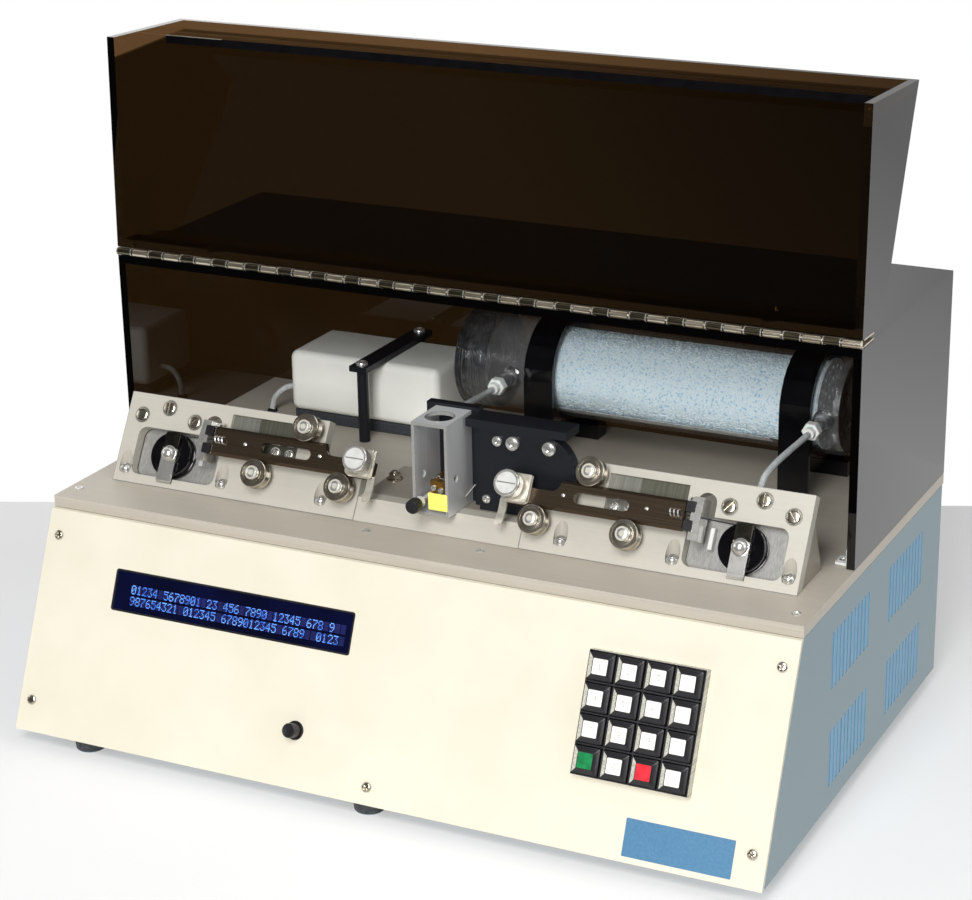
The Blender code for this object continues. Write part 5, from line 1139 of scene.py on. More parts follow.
def recess_floor(side, name):
    """The floor of the milled recess behind the bar, with a painted reflection of the dark bar on part of it.
    """
    shape = bmesh.new()
    line = mirrored(rectangle((RECESS_U[0], RECESS_S[0]), (RECESS_U[1], RECESS_S[1]), SHARP), side)
    add_layers(shape, [([line], -RECESS_DEPTH - 0.0002), ([line], -RECESS_DEPTH + 0.00008)], PULLER)
    piece(f"recess_floor_{name}", shape, RECESS, "cabinet")
    # Painted reflection: a darker plate over part of the floor.
    dark = bmesh.new()
    middle = (RECESS_U[0] + RECESS_U[1]) / 2 - side * 0.006
    low, high = (middle, RECESS_U[1]) if side > 0 else (RECESS_U[0], middle)
    line = mirrored(rectangle((low, RECESS_S[0]), (high, RECESS_S[1]), SHARP), side)
    add_layers(dark, [([line], -RECESS_DEPTH), ([line], -RECESS_DEPTH + 0.00014)], PULLER)
    piece(f"recess_shade_{name}", dark, PAINTED_BAR_REFLECTION, "cabinet")


def face_edges(side, name):
    """The cut edge round the face of the puller plate: a thin bright line."""
    shape = bmesh.new()
    wide = 0.0003
    inner, outer = FACE_U
    runs = [((inner, 0.0), (outer, wide)), ((FACE_STEP_U, FACE_TOP - wide), (outer, FACE_TOP)),
            ((inner, 0.0), (inner + wide, FACE_STEP_S)), ((outer - wide, 0.0), (outer, FACE_TOP))]
    for low, high in runs:
        line = mirrored(rectangle(low, high, SHARP), side)
        add_layers(shape, [([line], -0.0001), ([line], 0.00006)], PULLER)
    piece(f"face_edges_{name}", shape, RIM, "cabinet")


def pull_cables(side, name):
    """The cable from the bar's clasp to the top of the pulley: one length stays, and inside it lies
    the length that the bar draws out."""
    s = BAR_S + 0.0004
    start = PULLER @ Vector((side * (BAR_OUTER - 0.010), s, CLAMP_BACK + 0.0006))
    middle = PULLER @ Vector((side * (BAR_OUTER + 0.0065), s, CLAMP_BACK - 0.0010))
    end = PULLER @ Vector((side * PULLEY_AT[0], PULLEY_AT[1] + PULLEY_GROOVE + 0.0003, PULLEY_FRONT - 0.0046))
    moving = bmesh.new()
    drawn = middle + (end - middle).normalized() * BAR_TRAVEL
    add_tube(moving, [start, start.lerp(middle, 0.5), middle, drawn], 0.00042, 10)
    piece(f"cable_end_{name}", moving, CABLE, f"bar_{name}")
    fixed = bmesh.new()
    add_tube(fixed, [middle, middle.lerp(end, 0.5), end], 0.00045, 10)
    piece(f"cable_run_{name}", fixed, CABLE, "cabinet")


def puller_unit(side, name):
    """Everything on one leaning puller plate; side is 1 for the right one and -1 for the left."""
    bar(side, name, f"bar_{name}")
    clamp(side, name, f"bar_{name}")
    clamp_knob(side, name, f"knob_{name}")
    for number, at in enumerate(WHEELS, 1):
        v_wheel(side, name, number, at)
    wheel_heads(side, name)
    pulley(side, name)
    pulley_strap(side, name)
    outer_stop(side, name)
    pocket_floor(side, name)
    plate_screws(side, name)
    recess_floor(side, name)
    face_edges(side, name)
    pull_cables(side, name)


# Chamber, jaws and filament block

def chamber_details():
    """Bright cut rim of the square tube, the plain yellow tag and the screws on the brass jaws."""
    rim = bmesh.new()
    half = CHAMBER_HIGH.x
    low, high = CHAMBER_LOW.z, CHAMBER_HIGH.z
    wall = 0.0020
    place = Matrix.Translation((0, CHAMBER_LOW.y, 0)) @ Matrix.Rotation(math.pi / 2, 4, "X")
    outer = rectangle((-half, low), (half, high), (0.0002,) * 4, 2)
    inner = rectangle((-half + wall, low + wall), (half - wall, high - wall), (0.0002,) * 4, 2, hole=True)
    add_plate(rim, [outer, inner], -0.0001, 0.0002, 0.0001, place)
    piece("chamber_rim", rim, RIM, "cabinet")
    mouth = Matrix.Translation((0, CHAMBER_LOW.y + 0.0155, high))
    ring = [(0.0093, -0.0022), (0.0093, 0.0001), (0.0097, 0.0002), (0.0100, 0.0001), (0.0099, -0.0022)]
    turned_piece("chamber_mouth_ring", ring, 40, mouth, RIM, "cabinet", closed=True)
    tag = bmesh.new()
    line = rectangle(*TAG_CORNERS, (0.0006,) * 4, 3)
    add_plate(tag, [line], 0.0002, 0.0004, 0.0001, place)
    piece("yellow_tag", tag, TAG, "cabinet")
    jaw_low, jaw_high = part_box("heater_jaws")
    middle = (jaw_low.z + jaw_high.z) / 2 - 0.001
    head = domed(0.0021, 0.0012, slot=0.0006, steps=18)
    places = [((x, jaw_low.y + 0.0002, z), (0, -1, 0), 0.6, 1.0)
              for x, z in ((-0.0026, middle + 0.0004), (0.0026, middle - 0.0008))]
    screws("jaw_screws", head, places)
    discard(head)
    loop = bmesh.new()
    y = jaw_low.y + 0.002
    z = jaw_high.z
    points = [(-0.0036, y, z - 0.001), (-0.0036, y, z + 0.0012)]
    points += [(-0.0012 * math.cos(t), y, z + 0.0012 + 0.0016 * math.sin(t))
               for t in (math.radians(20 * k) for k in range(10))]
    points += [(0.0036, y, z + 0.0012), (0.0036, y, z - 0.001)]
    add_tube(loop, points, 0.0003, 8)
    piece("filament_loop", loop, BRIGHT, "cabinet")


def chamber_knob():
    """The knurled black knob in front of the chamber, with its chrome collar on the stem."""
    x = (KNOB_LOW.x + KNOB_HIGH.x) / 2
    z = (KNOB_LOW.z + KNOB_HIGH.z) / 2
    r = KNOB_HIGH.x - x
    front = KNOB_LOW.y
    length = 0.0080
    node = ("chamber_knob",)
    place = facing((x, front, z), (0, 1, 0))
    profile = [(0.0, 0.0003), (r * 0.45, 0.0003), (r * 0.5, 0.0), (r * 0.86, 0.0), (r * 0.94, 0.0006),
               (r * 0.94, length - 0.0005), (r * 0.86, length), (0.0, length)]
    turned_piece("chamber_knob_head", profile, 36, place, ABS, "chamber_knob", node)
    mesh = ribs("chamber_knob_knurl", 26, r * 0.93, length - 0.0014, 0.00032, ABS,
                place @ Matrix.Translation((0, 0, length / 2)))
    piece_from_mesh("chamber_knob_knurl", mesh, ABS, "chamber_knob", node)
    stem = [(0.0, -0.0002), (r * 0.78, -0.0002), (r * 0.78, 0.0014), (r * 0.60, 0.0016), (r * 0.60, 0.0022),
            (r * 0.78, 0.0024), (r * 0.78, 0.0046), (r * 0.5, 0.0050), (0.0016, 0.0052)]
    stem = [(radius, length + height) for radius, height in stem]
    stem += [(0.0016, KNOB_HIGH.y - front), (0.0, KNOB_HIGH.y - front)]
    turned_piece("chamber_knob_stem", stem, 28, place, DISC, "chamber_knob", node)


def chamber_lever():
    """The thin lever that crosses from the chamber to the filament block."""
    shape = bmesh.new()
    y = HEATER_LOW.y
    add_tube(shape, [(0.0138, y - 0.0006, 0.1795), (0.0215, y - 0.0010, 0.1890)], 0.00055, 8)
    piece("chamber_lever", shape, PLATED, "cabinet")


# Canister

def tube_place(x):
    """A place on the canister's axis with Z to the right."""
    return facing((x, CANISTER_Y, CANISTER_Z), (1, 0, 0))


def canister():
    """The clear tube with its end walls, the ribbed cap, and the fittings with their nuts."""
    node = ("canister",)
    left, right = CANISTER_LOW.x + CAP_LENGTH * 0.4, CANISTER_HIGH.x - 0.0005
    length = right - left
    r, inner = CANISTER_RADIUS, CANISTER_RADIUS - CANISTER_WALL
    wall = [(r, 0.0), (r, length), (inner, length), (inner, 0.0)]
    turned_piece("canister_tube", wall, 72, tube_place(left), CLEAR, "cabinet", node,
                 closed=True)

    rings = 12
    pitch = CAP_LENGTH / rings
    profile = [(0.0, 0.0), (r * 0.55, 0.0), (r * 0.60, 0.0012), (r * 0.86, 0.0012), (r * 0.90, 0.0)]
    for i in range(rings):
        proud = 0.0010 if i % 3 == 0 else 0.0005
        start = i * pitch
        profile += [(r + proud, start + pitch * 0.15), (r + proud, start + pitch * 0.60),
                    (r - 0.0002, start + pitch * 0.72), (r - 0.0002, start + pitch * 0.98)]
    profile += [(r - 0.0008, CAP_LENGTH), (inner - 0.001, CAP_LENGTH), (inner - 0.0012, 0.0040),
                (0.0, 0.0040)]
    turned_piece("canister_cap", profile, 72, tube_place(CANISTER_LOW.x), CAP, "cabinet",
                 node)

    end = bmesh.new()
    holes = [circle((0, 0), 0.0022, 8, hole=True)]
    for ring, count in ((0.0095, 8), (0.0180, 14), (0.0255, 20)):
        for k in range(count):
            t = 2 * math.pi * k / count
            holes.append(circle((ring * math.cos(t), ring * math.sin(t)), 0.0016, 6, hole=True))
    disc = [circle((0, 0), inner - 0.0002, 48), *holes]
    for x in (GRANULES_LOW.x - 0.0016, GRANULES_HIGH.x + 0.0002):
        add_layers(end, [(disc, 0.0), (disc, 0.0014)], tube_place(x))
    piece("sieve_discs", end, SIEVE_AND_GLINT, "cabinet", node)
    plug = [(0.0, 0.0), (r * 0.8, 0.0), (inner - 0.0003, 0.0006), (inner - 0.0003, 0.0052), (0.0, 0.0058)]
    turned_piece("canister_end", plug, 56, tube_place(CANISTER_HIGH.x - 0.0062), CAP, "cabinet",
                 node)

    for number, x in enumerate(FITTING_XS, 1):
        start = CANISTER_Y - r + 0.0012
        place = facing((x, start, CANISTER_Z), (0, -1, 0))
        body = [(0.0, 0.0), (0.0072, 0.0), (0.0072, 0.0022), (0.0056, 0.0030), (0.0052, 0.0120),
                (0.0046, 0.0126), (0.0046, 0.0215), (0.0, 0.0215)]
        turned_piece(f"fitting_body_{number}", body, 32, place, CAP, "cabinet", node)
        nut = bmesh.new()
        add_plate(nut, [nut_outline(0.0108)], 0.0205, 0.0275, 0.0006, place)
        add_turned(nut, [(0.0, 0.0270), (0.0042, 0.0270), (0.0036, 0.0312), (0.0, 0.0312)], 28, place)
        piece(f"fitting_nut_{number}", nut, NYLON, "cabinet", node)


def settled_powder():
    """A painted glint: a pale strip along the lower front inside the tube, under the granules, standing in
    for the tube's reflection.
    """
    shape = bmesh.new()
    r = CANISTER_RADIUS - CANISTER_WALL - 0.0004
    rows = []
    for degrees in (-48, -54, -60, -66):
        t = math.radians(degrees)
        rows.append([shape.verts.new((x, CANISTER_Y - k * math.cos(t), CANISTER_Z + k * math.sin(t)))
                     for k in (r, r - 0.0004) for x in (GRANULES_LOW.x + 0.010, GRANULES_HIGH.x - 0.035)])
    for a, b in zip(rows, rows[1:]):
        shape.faces.new((a[0], a[1], b[1], b[0]))
        shape.faces.new((a[2], a[3], b[3], b[2]))
        shape.faces.new((a[0], a[2], b[2], b[0]))
        shape.faces.new((a[1], a[3], b[3], b[1]))
    for end in (rows[0], rows[-1]):
        shape.faces.new((end[0], end[1], end[3], end[2]))
    piece("settled_powder", shape, SIEVE_AND_GLINT, "cabinet")


def granules():
    """The bed of drying granules, with single grains standing out of it."""
    r, length = GRANULE_BED_RADIUS, GRANULES_HIGH.x - GRANULES_LOW.x
    place = tube_place(GRANULES_LOW.x)
    start = bpy.data.meshes.new("granule_start")
    skin = bmesh.new()
    add_turned(skin, [(r - 0.0003, 0.0010), (r - 0.0003, length - 0.0010)], 48, place)
    skin.to_mesh(start)
    skin.free()
    mesh = made_by(GRANULES, "granules", start,
                   {"Grain": 0.00085, "Density": 330000.0, "Seed": 7, "Finish": SILICA})
    turned_piece("granule_bed", [(0.0, 0.0), (r, 0.0), (r, length), (0.0, length)], 64, place, SILICA_BED,
                 "cabinet", ("desiccant",))
    piece_from_mesh("granules", mesh, SILICA, "cabinet", ("desiccant",), angle=10)


# Hoses

def smooth_path(knots, spacing):
    """Points along a smooth curve through knots."""
    knots = [Vector(k) for k in knots]
    slopes = []
    for i, knot in enumerate(knots):
        before, after = knots[max(i - 1, 0)], knots[min(i + 1, len(knots) - 1)]
        slopes.append((after - before) / ((knot - before).length + (after - knot).length))
    points = [knots[0]]
    for a, b, leave, arrive in zip(knots, knots[1:], slopes, slopes[1:]):
        length = (b - a).length
        steps = max(2, round(length / spacing))
        for i in range(1, steps + 1):
            t = i / steps
            ease = t * t * (3 - 2 * t)
            pull = leave * t * (1 - t) ** 2 - arrive * t * t * (1 - t)
            points.append(a + (b - a) * ease + pull * length)
    return points


def hose(name, knots, replaces):
    """A hose along its route."""
    points = smooth_path(knots, 0.0025)
    shape = bmesh.new()
    add_tube(shape, points, HOSE_RADIUS, 16)
    made = piece(name, shape, HOSE, "cabinet", replaces)


def hoses():
    """The outlet hose to the chamber's flange, the inlet hose to the deck, and the pump's own loop."""
    mouth = CANISTER_Y - CANISTER_RADIUS - FITTING_BODY - FITTING_NUT - GAP
    x = FITTING_XS[0]
    port = (-0.0007, FRONT + 0.1410 + GAP, HEATER_HIGH.z - 0.0053)
    hose("chamber_hose", [(x, mouth, CANISTER_Z), (x, mouth - 0.005, CANISTER_Z),
                          (port[0], port[1] + 0.005, port[2]), port], ("outlet_hose",))
    x = FITTING_XS[1]
    end_x, end_y = x - 0.006, FRONT + 0.1430
    z = CANISTER_Z
    hose("deck_hose", [(x, mouth, z), (x, mouth - 0.005, z), (end_x, end_y + 0.020, z - 0.0075),
                       (end_x, end_y + 0.0045, z - 0.019), (end_x, end_y, z - 0.034),
                       (end_x, end_y, DECK + GAP + 0.006), (end_x, end_y, DECK + GAP)],
         ("inlet_hose",))
    low, y, z = PUMP_LOW.x, PUMP_LOW.y + 0.0170, 0.1775
    turn = 0.0175
    route = [(low, y, z), (low - 0.0050, y, z)]
    for angle in (22, 45, 67, 90):
        t = math.radians(angle)
        route.append((low - 0.0050 - turn * math.sin(t), y - 0.0060 * math.sin(t) ** 2,
                      z - turn * (1 - math.cos(t)) * 1.02))
    hose("pump_hose", route, ())
    ring = [(0.0022, 0.0), (0.0038, 0.0), (0.0036, 0.0014), (0.0022, 0.0014)]
    place = Matrix.Translation((route[-1][0], route[-1][1], DECK))
    turned_piece("hose_grommet", ring, 28, place, ABS, "cabinet", closed=True)


def pump():
    """The pump's rounded case on the foam pad."""
    shape = bmesh.new()
    low, high = PUMP_LOW, PUMP_HIGH
    base = low.z + 0.0075
    r = 0.0060
    steps = 6
    layers = []
    for k in range(steps + 1):
        t = math.radians(90 * k / steps)
        layers.append((r * (1 - math.sin(t)), base + r * (1 - math.cos(t))))

    def line(shrink):
        """The case's outline, drawn in by a distance."""
        return rectangle((low.x + shrink, low.y + shrink), (high.x - shrink, high.y - shrink),
                         (max(r - shrink, 0.0004),) * 4, 6)

    rings = [([line(shrink)], z) for shrink, z in layers]
    rings += [([line(shrink)], high.z - (z - base)) for shrink, z in reversed(layers)]
    add_layers(shape, rings)
    piece("pump_case", shape, CASE, "cabinet", ("air_pump",))
    pad = bmesh.new()
    inset = 0.0015
    outline = rectangle((low.x + inset, low.y + inset), (high.x - inset, high.y - inset), (0.004,) * 4, 4)
    add_plate(pad, [outline], low.z, base + 0.0002, 0.0005)
    piece("pump_pad", pad, FOAM, "cabinet", ("air_pump",))


# Hinge and covers

def hinge():
    """The piano hinge: a leaf on the cover, a leaf on the lid, and their knuckles in turn."""
    leaves = (("lid", "lid", LID, 0, 1, 0.0004, WORN),
              ("cover", "cabinet", Matrix.Translation((0, HINGE_Y, HINGE_Z)), 1, -1, 0.0001, HINGE))
    for name, body, place, first, sign, recess, barrel in leaves:
        node = f"hinge_leaf_{name}"
        leaf = bmesh.new()
        outer, inner = KNUCKLE_RADIUS * sign, (KNUCKLE_RADIUS - LEAF_THICKNESS) * sign
        low, high = sorted((inner, outer))
        strip = rectangle((-RIGHT, 0.0034), (RIGHT, LEAF_WIDTH), SHARP)
        add_plate(leaf, [strip], low, high, 0.0002, place)
        for k in range(first, KNUCKLES, 2):
            start = -RIGHT + k * KNUCKLE_WIDTH + 0.0003
            tongue = rectangle((start, 0.0004), (start + KNUCKLE_WIDTH - 0.0006, 0.0038), SHARP)
            add_layers(leaf, [([tongue], low), ([tongue], high)], place)
        piece(f"hinge_strip_{name}", leaf, HINGE, body, (node,))
        row = made_by(KNUCKLE_ROW, f"knuckles_{name}", bpy.data.meshes.new("row_start"),
                      {"Count": KNUCKLES // 2, "Pitch": 2 * KNUCKLE_WIDTH, "Radius": KNUCKLE_RADIUS - recess,
                       "Length": KNUCKLE_WIDTH - 0.0012, "Finish": barrel})
        row.transform(Matrix.Translation((-RIGHT + (first + 0.5) * KNUCKLE_WIDTH, 0, 0)))
        row.transform(place)
        piece_from_mesh(f"knuckles_{name}", row, barrel, body, (node,))
    rims = bmesh.new()
    for k in range(0, KNUCKLES, 2):
        for end in (0.0006, KNUCKLE_WIDTH - 0.0012):
            x = -RIGHT + k * KNUCKLE_WIDTH + end
            profile = [(0.0, 0.0), (KNUCKLE_RADIUS, 0.0), (KNUCKLE_RADIUS, 0.0006), (0.0, 0.0006)]
            add_turned(rims, profile, 20, facing((x, HINGE_Y, HINGE_Z), (1, 0, 0)))
    piece("knuckle_rims", rims, PLATED, "lid", ("hinge_leaf_lid",))
    pin = bmesh.new()
    half = RIGHT - 0.0004
    add_tube(pin, [(x, HINGE_Y, HINGE_Z) for x in (-half, 0, half)], 0.0009, 12)
    piece("hinge_pin", pin, BRIGHT, "cabinet", ("hinge_leaf_cover",))


def lip_edge():
    """The dark cut edge of the lid's inner lip, and a painted highlight: a thin pale strip where its polished
    corner catches the light.
    """
    low, high = LIP_Z
    ends = RIGHT - SHEET
    thin = 0.0004
    lit = 0.045
    for name, right, behind, bottom, top, material in (
            ("lip_edge", ends, LIP_Y + thin, low, high, BLACK),
            ("lip_corner", -ends + lit, LIP_Y, high - 0.0003, high + 0.0001, NICKEL_AND_HIGHLIGHT)):
        shape = bmesh.new()
        line = rectangle((-ends, LIP_Y - thin), (right, behind), SHARP)
        add_layers(shape, [([line], bottom), ([line], top)], LID)
        piece(name, shape, material, "lid")


def cover_bracket():
    """The small white angle inside the cover's right front corner, with its screw."""
    shape = bmesh.new()
    x = RIGHT - 0.0060
    y = COVER_LOW.y + 0.0050
    line = rectangle((x - 0.0090, y), (x, y + 0.0120), (0.001,) * 4, 3)
    add_plate(shape, [line], DECK + 0.0001, DECK + 0.0018, 0.0002)
    upright = rectangle((x - 0.0016, y), (x, y + 0.0120), (0.0004,) * 4, 2)
    add_plate(shape, [upright], DECK + 0.0001, DECK + 0.0110, 0.0002)
    piece("cover_bracket", shape, NYLON, "cabinet")


# Front panel

DIGITS = {
    "0": "01110 10001 10011 10101 11001 10001 01110",
    "1": "00100 01100 00100 00100 00100 00100 01110",
    "2": "01110 10001 00001 00010 00100 01000 11111",
    "3": "11111 00010 00100 00010 00001 10001 01110",
    "4": "00010 00110 01010 10010 11111 00010 00010",
    "5": "11111 10000 11110 00001 00001 10001 01110",
    "6": "00110 01000 10000 11110 10001 10001 01110",
    "7": "11111 00001 00010 00100 01000 01000 01000",
    "8": "01110 10001 10001 01110 10001 10001 01110",
    "9": "01110 10001 10001 01111 00001 00010 01100",
    " ": "00000 00000 00000 00000 00000 00000 00000",
}
KEY_NUMBERS = {(n // 3 + 1, n % 3 + 1): str(n + 1) for n in range(9)} | {(4, 2): "0"}
DISPLAY_TEXT = ("01234 5678901 23 456 7890 12345 678 9  ",
                "987654321 012345 6789012345 6789  0123 ")


def display_dots():
    """Two rows of dot-matrix cells behind the window: lit dots for digits, and the unlit rest."""
    dot = bmesh.new()
    half = DOT_PITCH * 0.42
    outline = rectangle((-half, -half), (half, half), SHARP)
    add_layers(dot, [([outline], 0.0), ([outline], 0.00006)])
    shape = loose("dot", dot)
    lit, dark = [], []
    left = WINDOW_AT[0] - WINDOW_SIZE[0] / 2 + DISPLAY_LEFT
    for row, text in enumerate(DISPLAY_TEXT):
        for cell, sign in enumerate(text):
            for line, bits in enumerate(DIGITS[sign].split()):
                for column, bit in enumerate(bits):
                    x = left + cell * CELL_PITCH + column * DOT_PITCH
                    s = WINDOW_AT[1] + DISPLAY_ROWS[row] + (3 - line) * DOT_PITCH * 1.18
                    place = ((x, s, WINDOW_FACE), (0, 0, 1), 0.0, 1.0)
                    (lit if bit == "1" else dark).append(place)
    for name, places, material in (("display_lit", lit, LIT), ("display_unlit", dark, UNLIT)):
        made = set_out(name, shape, places, material)
        made.transform(PANEL)
        piece_from_mesh(name, made, material, "cabinet")
    discard(shape)


def window_frame():
    """The thin black lip round the display window."""
    shape = bmesh.new()
    x, s = WINDOW_AT
    a, b = WINDOW_SIZE[0] / 2, WINDOW_SIZE[1] / 2
    outer = rectangle((x - a - 0.0004, s - b - 0.0004), (x + a + 0.0004, s + b + 0.0004), (0.0018,) * 4, 4)
    inner = rectangle((x - a + 0.0008, s - b + 0.0008), (x + a - 0.0008, s + b - 0.0008), (0.0012,) * 4, 4,
                      hole=True)
    add_plate(shape, [outer, inner], -0.0006, 0.00015, 0.0001, PANEL)
    piece("window_lip", shape, ABS, "cabinet")


def key(row, column):
    """A key: a textured black skirt with sloped sides, a printed insert in its top and a painted glare on its
    left flank.
    """
    x = KEYPAD_AT[0] + (column - 2.5) * KEY_PITCH
    s = KEYPAD_AT[1] + (2.5 - row) * KEY_PITCH
    node = f"key_{row}_{column}"
    shape = bmesh.new()
    half, top = KEY_SKIRT / 2, KEY_TOP / 2

    def square(size, radius):
        """A square round the key's middle."""
        return rectangle((x - size, s - size), (x + size, s + size), (radius,) * 4, 3)

    face = KEYPAD_PROUD
    rise = face + KEY_RISE
    rim = face + KEY_RISE * 0.55
    layers = ((half - 0.0002, 0.0006, face - KEY_SEAT), (half, 0.0008, face - 0.0001),
              (half - 0.0004, 0.0008, rim), (top + 0.0003, 0.0006, rise - 0.0003), (top, 0.0005, rise))
    add_layers(shape, [([square(size, radius)], height) for size, radius, height in layers], PANEL)
    # Painted glare: a pale grey sheet laid over the left flank stands in for the highlight on that side.
    glare = bmesh.new()
    corners = [(x - half + 0.0005, s - half + 0.0008, rim), (x - top - 0.0003, s - top, rise - 0.0003),
               (x - top - 0.0003, s + top, rise - 0.0003), (x - half + 0.0005, s + half - 0.0008, rim)]
    rows = [[glare.verts.new(PANEL @ Vector((a, b, c + lift))) for a, b, c in corners]
            for lift in (-0.0002, 0.0001)]
    join_rings(glare, rows)
    piece(f"keyflank_{row}_{column}", glare, SKIRT_AND_GLARE, node)
    piece(f"keycap_{row}_{column}", shape, ABS, node, (node,), angle=30)
    insert = bmesh.new()
    add_plate(insert, [square(top - 0.0003, 0.0006)], rise - 0.0001, rise + 0.00005, 0.00005, PANEL)
    material = {(4, 1): GREEN, (4, 3): RED}.get((row, column), WHITE)
    piece(f"keylabel_{row}_{column}", insert, material, node)
    if (row, column) in KEY_NUMBERS:
        mark = bmesh.new()
        pitch = 0.00050
        for line, bits in enumerate(DIGITS[KEY_NUMBERS[row, column]].split()):
            for place, bit in enumerate(bits):
                if bit == "1":
                    cx, cs = x + (place - 2) * pitch, s + (3 - line) * pitch
                    cell = rectangle((cx - pitch / 2, cs - pitch / 2), (cx + pitch / 2, cs + pitch / 2),
                                     SHARP)
                    add_layers(mark, [([cell], rise), ([cell], rise + 0.00009)], PANEL)
        piece(f"keynumber_{row}_{column}", mark, INK, node)


def keypad():
    """The pale skirt round the keypad's housing, and the keys."""
    shape = bmesh.new()
    half = KEY_PITCH * 2
    x, s = KEYPAD_AT
    out, back = half + 0.00022, half - 0.0001
    outer = rectangle((x - out, s - out), (x + out, s + out), SHARP)
    inner = rectangle((x - back, s - back), (x + back, s + back), SHARP, hole=True)
    add_layers(shape, [([outer, inner], 0.0), ([outer, inner], KEYPAD_PROUD - 0.0007)], PANEL)
    piece("keypad_skirt", shape, SKIRT_AND_GLARE, "cabinet")
    for row in range(1, 5):
        for column in range(1, 5):
            key(row, column)


def reset_button():
    """The round black button with a dished top, in its thin ring."""
    r, proud = RESET_RADIUS, RESET_PROUD
    place = PANEL @ Matrix.Translation((*RESET_AT, 0))
    profile = [(0.0, proud - 0.0005), (r * 0.6, proud - 0.0002), (r - 0.0007, proud),
               (r - 0.0001, proud - 0.0004), (r, proud - 0.0009), (r, -0.0033), (r * 1.47, -0.0033),
               (r * 1.47, -0.0051), (0.0, -0.0051)]
    turned_piece("reset_cap", profile, 40, place, ABS, "reset_button", ("reset_button",))
    ring = [(r + 0.0003, 0.0), (r + 0.0003, 0.0006), (r + 0.0012, 0.0006), (r + 0.0015, 0.0)]
    turned_piece("reset_ring", ring, 36, place, ABS, "cabinet", closed=True)


def blue_patch():
    """The blank blue film patch at the panel's lower right."""
    shape = bmesh.new()
    line = rectangle(*PATCH_CORNERS, (0.0004,) * 4, 2)
    add_plate(shape, [line], 0.0, 0.00012, 0.00004, PANEL)
    piece("blue_patch", shape, PATCH, "cabinet")


# Cabinet

def vent_screens():
    """Painted gauze just inside the vent slots of both side walls."""
    shape = bmesh.new()
    a, b = VENT_SIZE[0] / 2, VENT_SIZE[1] / 2
    for side in (-1, 1):
        for column in VENT_COLUMNS:
            for row in VENT_ROWS:
                y, z = FRONT + column, row
                line = rectangle((y - a, z - b), (y + a, z + b), (0.001,) * 4, 2)
                low, high = sorted((side * (RIGHT - 0.0004), side * (RIGHT - 0.0012)))
                add_layers(shape, [([line], low), ([line], high)], FROM_SIDE)
    piece("vent_gauze", shape, GAUZE, "cabinet")


def feet():
    """Five rubber feet with a hollow sole."""
    shape = bmesh.new()
    for x, back in FEET:
        place = Matrix.Translation((x, FRONT + back, 0))
        add_turned(shape, [(0.0, 0.0018), (0.0050, 0.0018), (0.0060, 0.0), (0.0092, 0.0), (0.0100, 0.0008),
                           (0.0113, 0.0114), (0.0113, 0.0120), (0.0, 0.0120)], 36, place)
    piece("rubber_feet", shape, RUBBER, "cabinet")


def inlet_pins():
    """The three flat pins in the mains inlet's socket."""
    shape = bmesh.new()
    x, z = INLET_SOCKET
    rear = BACK - 0.0025
    a, b = 0.0011, 0.0021
    for dx, dz in ((-0.007, -0.002), (0.0, 0.002), (0.007, -0.002)):
        line = rectangle((x + dx - a, z + dz - b), (x + dx + a, z + dz + b), (0.0003,) * 4, 2)
        add_layers(shape, [([line], -(rear - 0.0178)), ([line], -(rear - 0.0039))], FROM_REAR)
    piece("inlet_pins", shape, PLATED, "cabinet")


def dress_solids():
    """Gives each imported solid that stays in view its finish."""
    finishes = {
        "front_panel": CREAM, "cabinet_shell": BLUE, "base_pan": BLUE, "top_plate": PLATE,
        "display_module": GLASS, "keypad_frame": ABS, "power_inlet": ABS, "power_switch": ABS,
        "transformer": LAMINATIONS, "pull_solenoid": LAMINATIONS, "solenoid_plunger": BRIGHT,
        "control_board": BOARD, "puller_plate_left": MILLED, "puller_plate_right": MILLED,
        "centre_block": MILLED, "humidity_chamber": SILVER, "filament_block": ANODISED,
        "heater_jaws": BRASS, "canister_stand_left": BLACK, "canister_stand_right": BLACK,
        "pump_bracket": ANODISED, "rear_cover": SMOKED, "lid": lid_acrylic(),
    }
    for name, node in NODES.items():
        material = finishes.get(name, ABS)
        node.data.materials.clear()
        node.data.materials.append(material)


# Stage, light and camera

def table():
    """The table, which ends behind the object; beyond it the background is white."""
    shape = bmesh.new()
    corners = [(-2.6, -0.44), (3.2, -0.44), (3.2, 1.80), (0.186, 0.510), (-0.539, 0.200), (-1.95, -0.40)]
    shape.faces.new([shape.verts.new((x, y, 0.0)) for x, y in corners])
    mesh = bpy.data.meshes.new("table")
    shape.to_mesh(mesh)
    shape.free()
    obj = placed("table", mesh)
    obj.data.materials.append(table_sheet())


def lamp(name, size, place, target, watts):
    """A rectangular soft lamp that points at a target."""
    data = bpy.data.lights.new(name, "AREA")
    data.shape = "RECTANGLE"
    data.size, data.size_y = size
    data.energy = watts
    obj = placed(name, data)
    obj.location = place
    obj.rotation_euler = (Vector(target) - Vector(place)).to_track_quat("-Z", "Y").to_euler()


def light():
    """Soft lamps: a low one near the camera, one over it for the deck, weaker ones at the sides and above."""
    lamp("softbox_low", (0.9, 0.7), (0.40, -2.2, 0.95), (0, 0, 0.18), 29)
    lamp("softbox_high", (0.9, 0.7), (0.36, -1.7, 1.7), (0, 0, 0.15), 24)
    lamp("softbox_left", (1.2, 1.0), (-2.1, -0.8, 0.9), (0, 0, 0.15), 6)
    lamp("softbox_above", (1.5, 1.2), (1.1, 0.1, 2.4), (0.1, 0, 0.15), 7)
    lamp("softbox_right", (1.2, 1.2), (2.2, -0.4, 1.2), (0, 0, 0.15), 8)


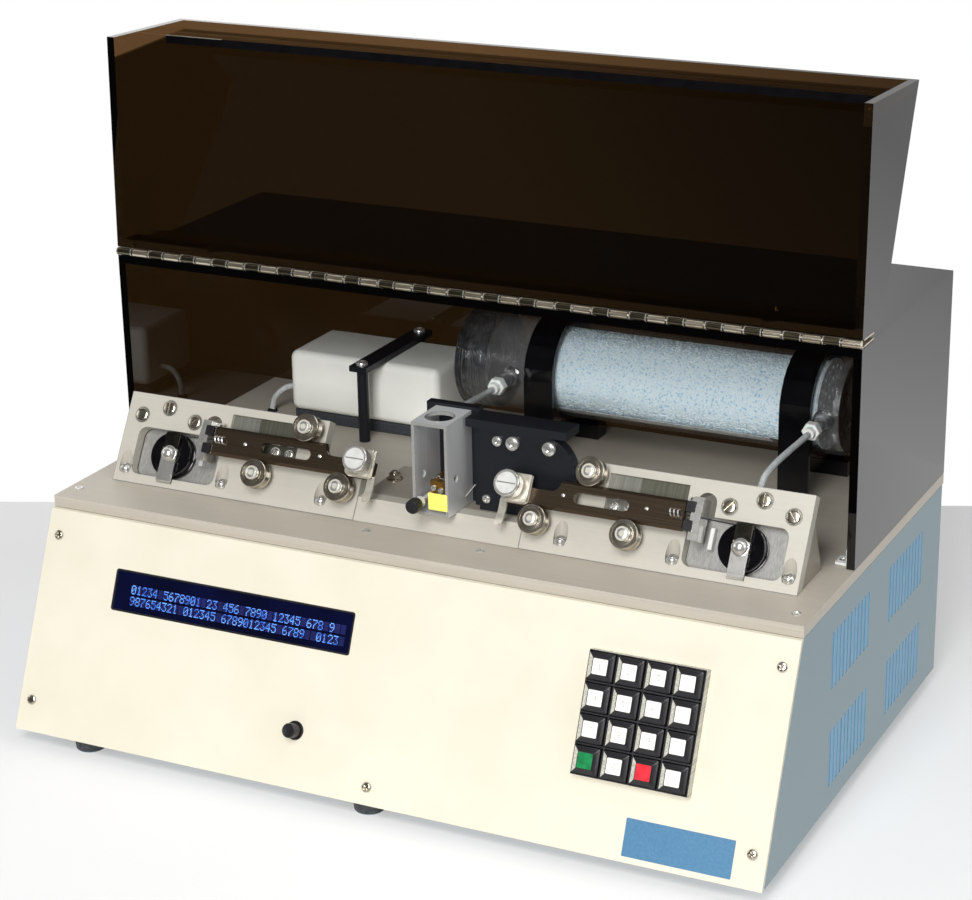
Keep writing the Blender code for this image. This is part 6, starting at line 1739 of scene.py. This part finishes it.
def world():
    """White for what the camera sees; metal and glass see white behind and a dim room in front."""
    made = bpy.data.worlds.new("studio")
    made.use_nodes = True
    bpy.context.scene.world = made
    made.node_tree.nodes.clear()
    path = add_node(made, "ShaderNodeLightPath")
    place = add_node(made, "ShaderNodeTexCoord")
    axes = add_node(made, "ShaderNodeSeparateXYZ", {}, {"Vector": place.outputs["Generated"]})
    rising = add_node(made, "ShaderNodeMapRange", {"From Min": -0.25, "From Max": 0.25, "To Min": 0.03,
                                                   "To Max": 1.15}, {"Value": axes.outputs["Y"]})
    fading = add_node(made, "ShaderNodeMapRange", {"From Min": 0.87, "From Max": 0.93, "To Min": 1.12,
                                                   "To Max": 0.43}, {"Value": axes.outputs["Y"]})
    behind = add_node(made, "ShaderNodeMath", {"operation": "MULTIPLY"},
                      {0: rising.outputs["Result"], 1: fading.outputs["Result"]})
    seen = add_node(made, "ShaderNodeMath", {"operation": "MAXIMUM"},
                    {0: path.outputs["Is Glossy Ray"], 1: path.outputs["Is Transmission Ray"]})
    room = add_node(made, "ShaderNodeMix", {"data_type": "FLOAT", 2: 0.26},
                    {0: seen.outputs[0], 3: behind.outputs[0]})
    strength = add_node(made, "ShaderNodeMix", {"data_type": "FLOAT", 3: 1.0},
                        {0: path.outputs["Is Camera Ray"], 2: room.outputs[0]})
    sky = add_node(made, "ShaderNodeBackground", {"Color": (1.0, 1.0, 1.0, 1.0)},
                   {"Strength": strength.outputs[0]})
    add_node(made, "ShaderNodeOutputWorld", {}, {"Surface": sky.outputs[0]})


def camera():
    """The photograph's camera: its place, turn and lens."""
    data = bpy.data.cameras.new("camera")
    data.lens = 92.67
    data.sensor_width = 36
    data.shift_x, data.shift_y = -0.0908, 0.0017
    data.clip_start = 0.01
    obj = placed("camera", data)
    obj.location = (0.7094, -1.3885, 0.7593)
    obj.rotation_euler = (math.radians(69.95), math.radians(0.33), math.radians(24.68))
    bpy.context.scene.camera = obj


def main():
    """Dresses the solids, makes the finer pieces, and sets the stage."""
    camera()
    hoses()
    dress_solids()
    cabinet_screws()
    block_nut()
    for side, name in ((-1, "left"), (1, "right")):
        puller_unit(side, name)
    chamber_details()
    chamber_knob()
    chamber_lever()
    canister()
    granules()
    settled_powder()
    pump()
    hinge()
    lip_edge()
    cover_bracket()
    display_dots()
    window_frame()
    keypad()
    reset_button()
    blue_patch()
    vent_screens()
    feet()
    inlet_pins()
    table()
    light()
    world()
    bpy.context.scene.view_settings.view_transform = "Standard"


main()
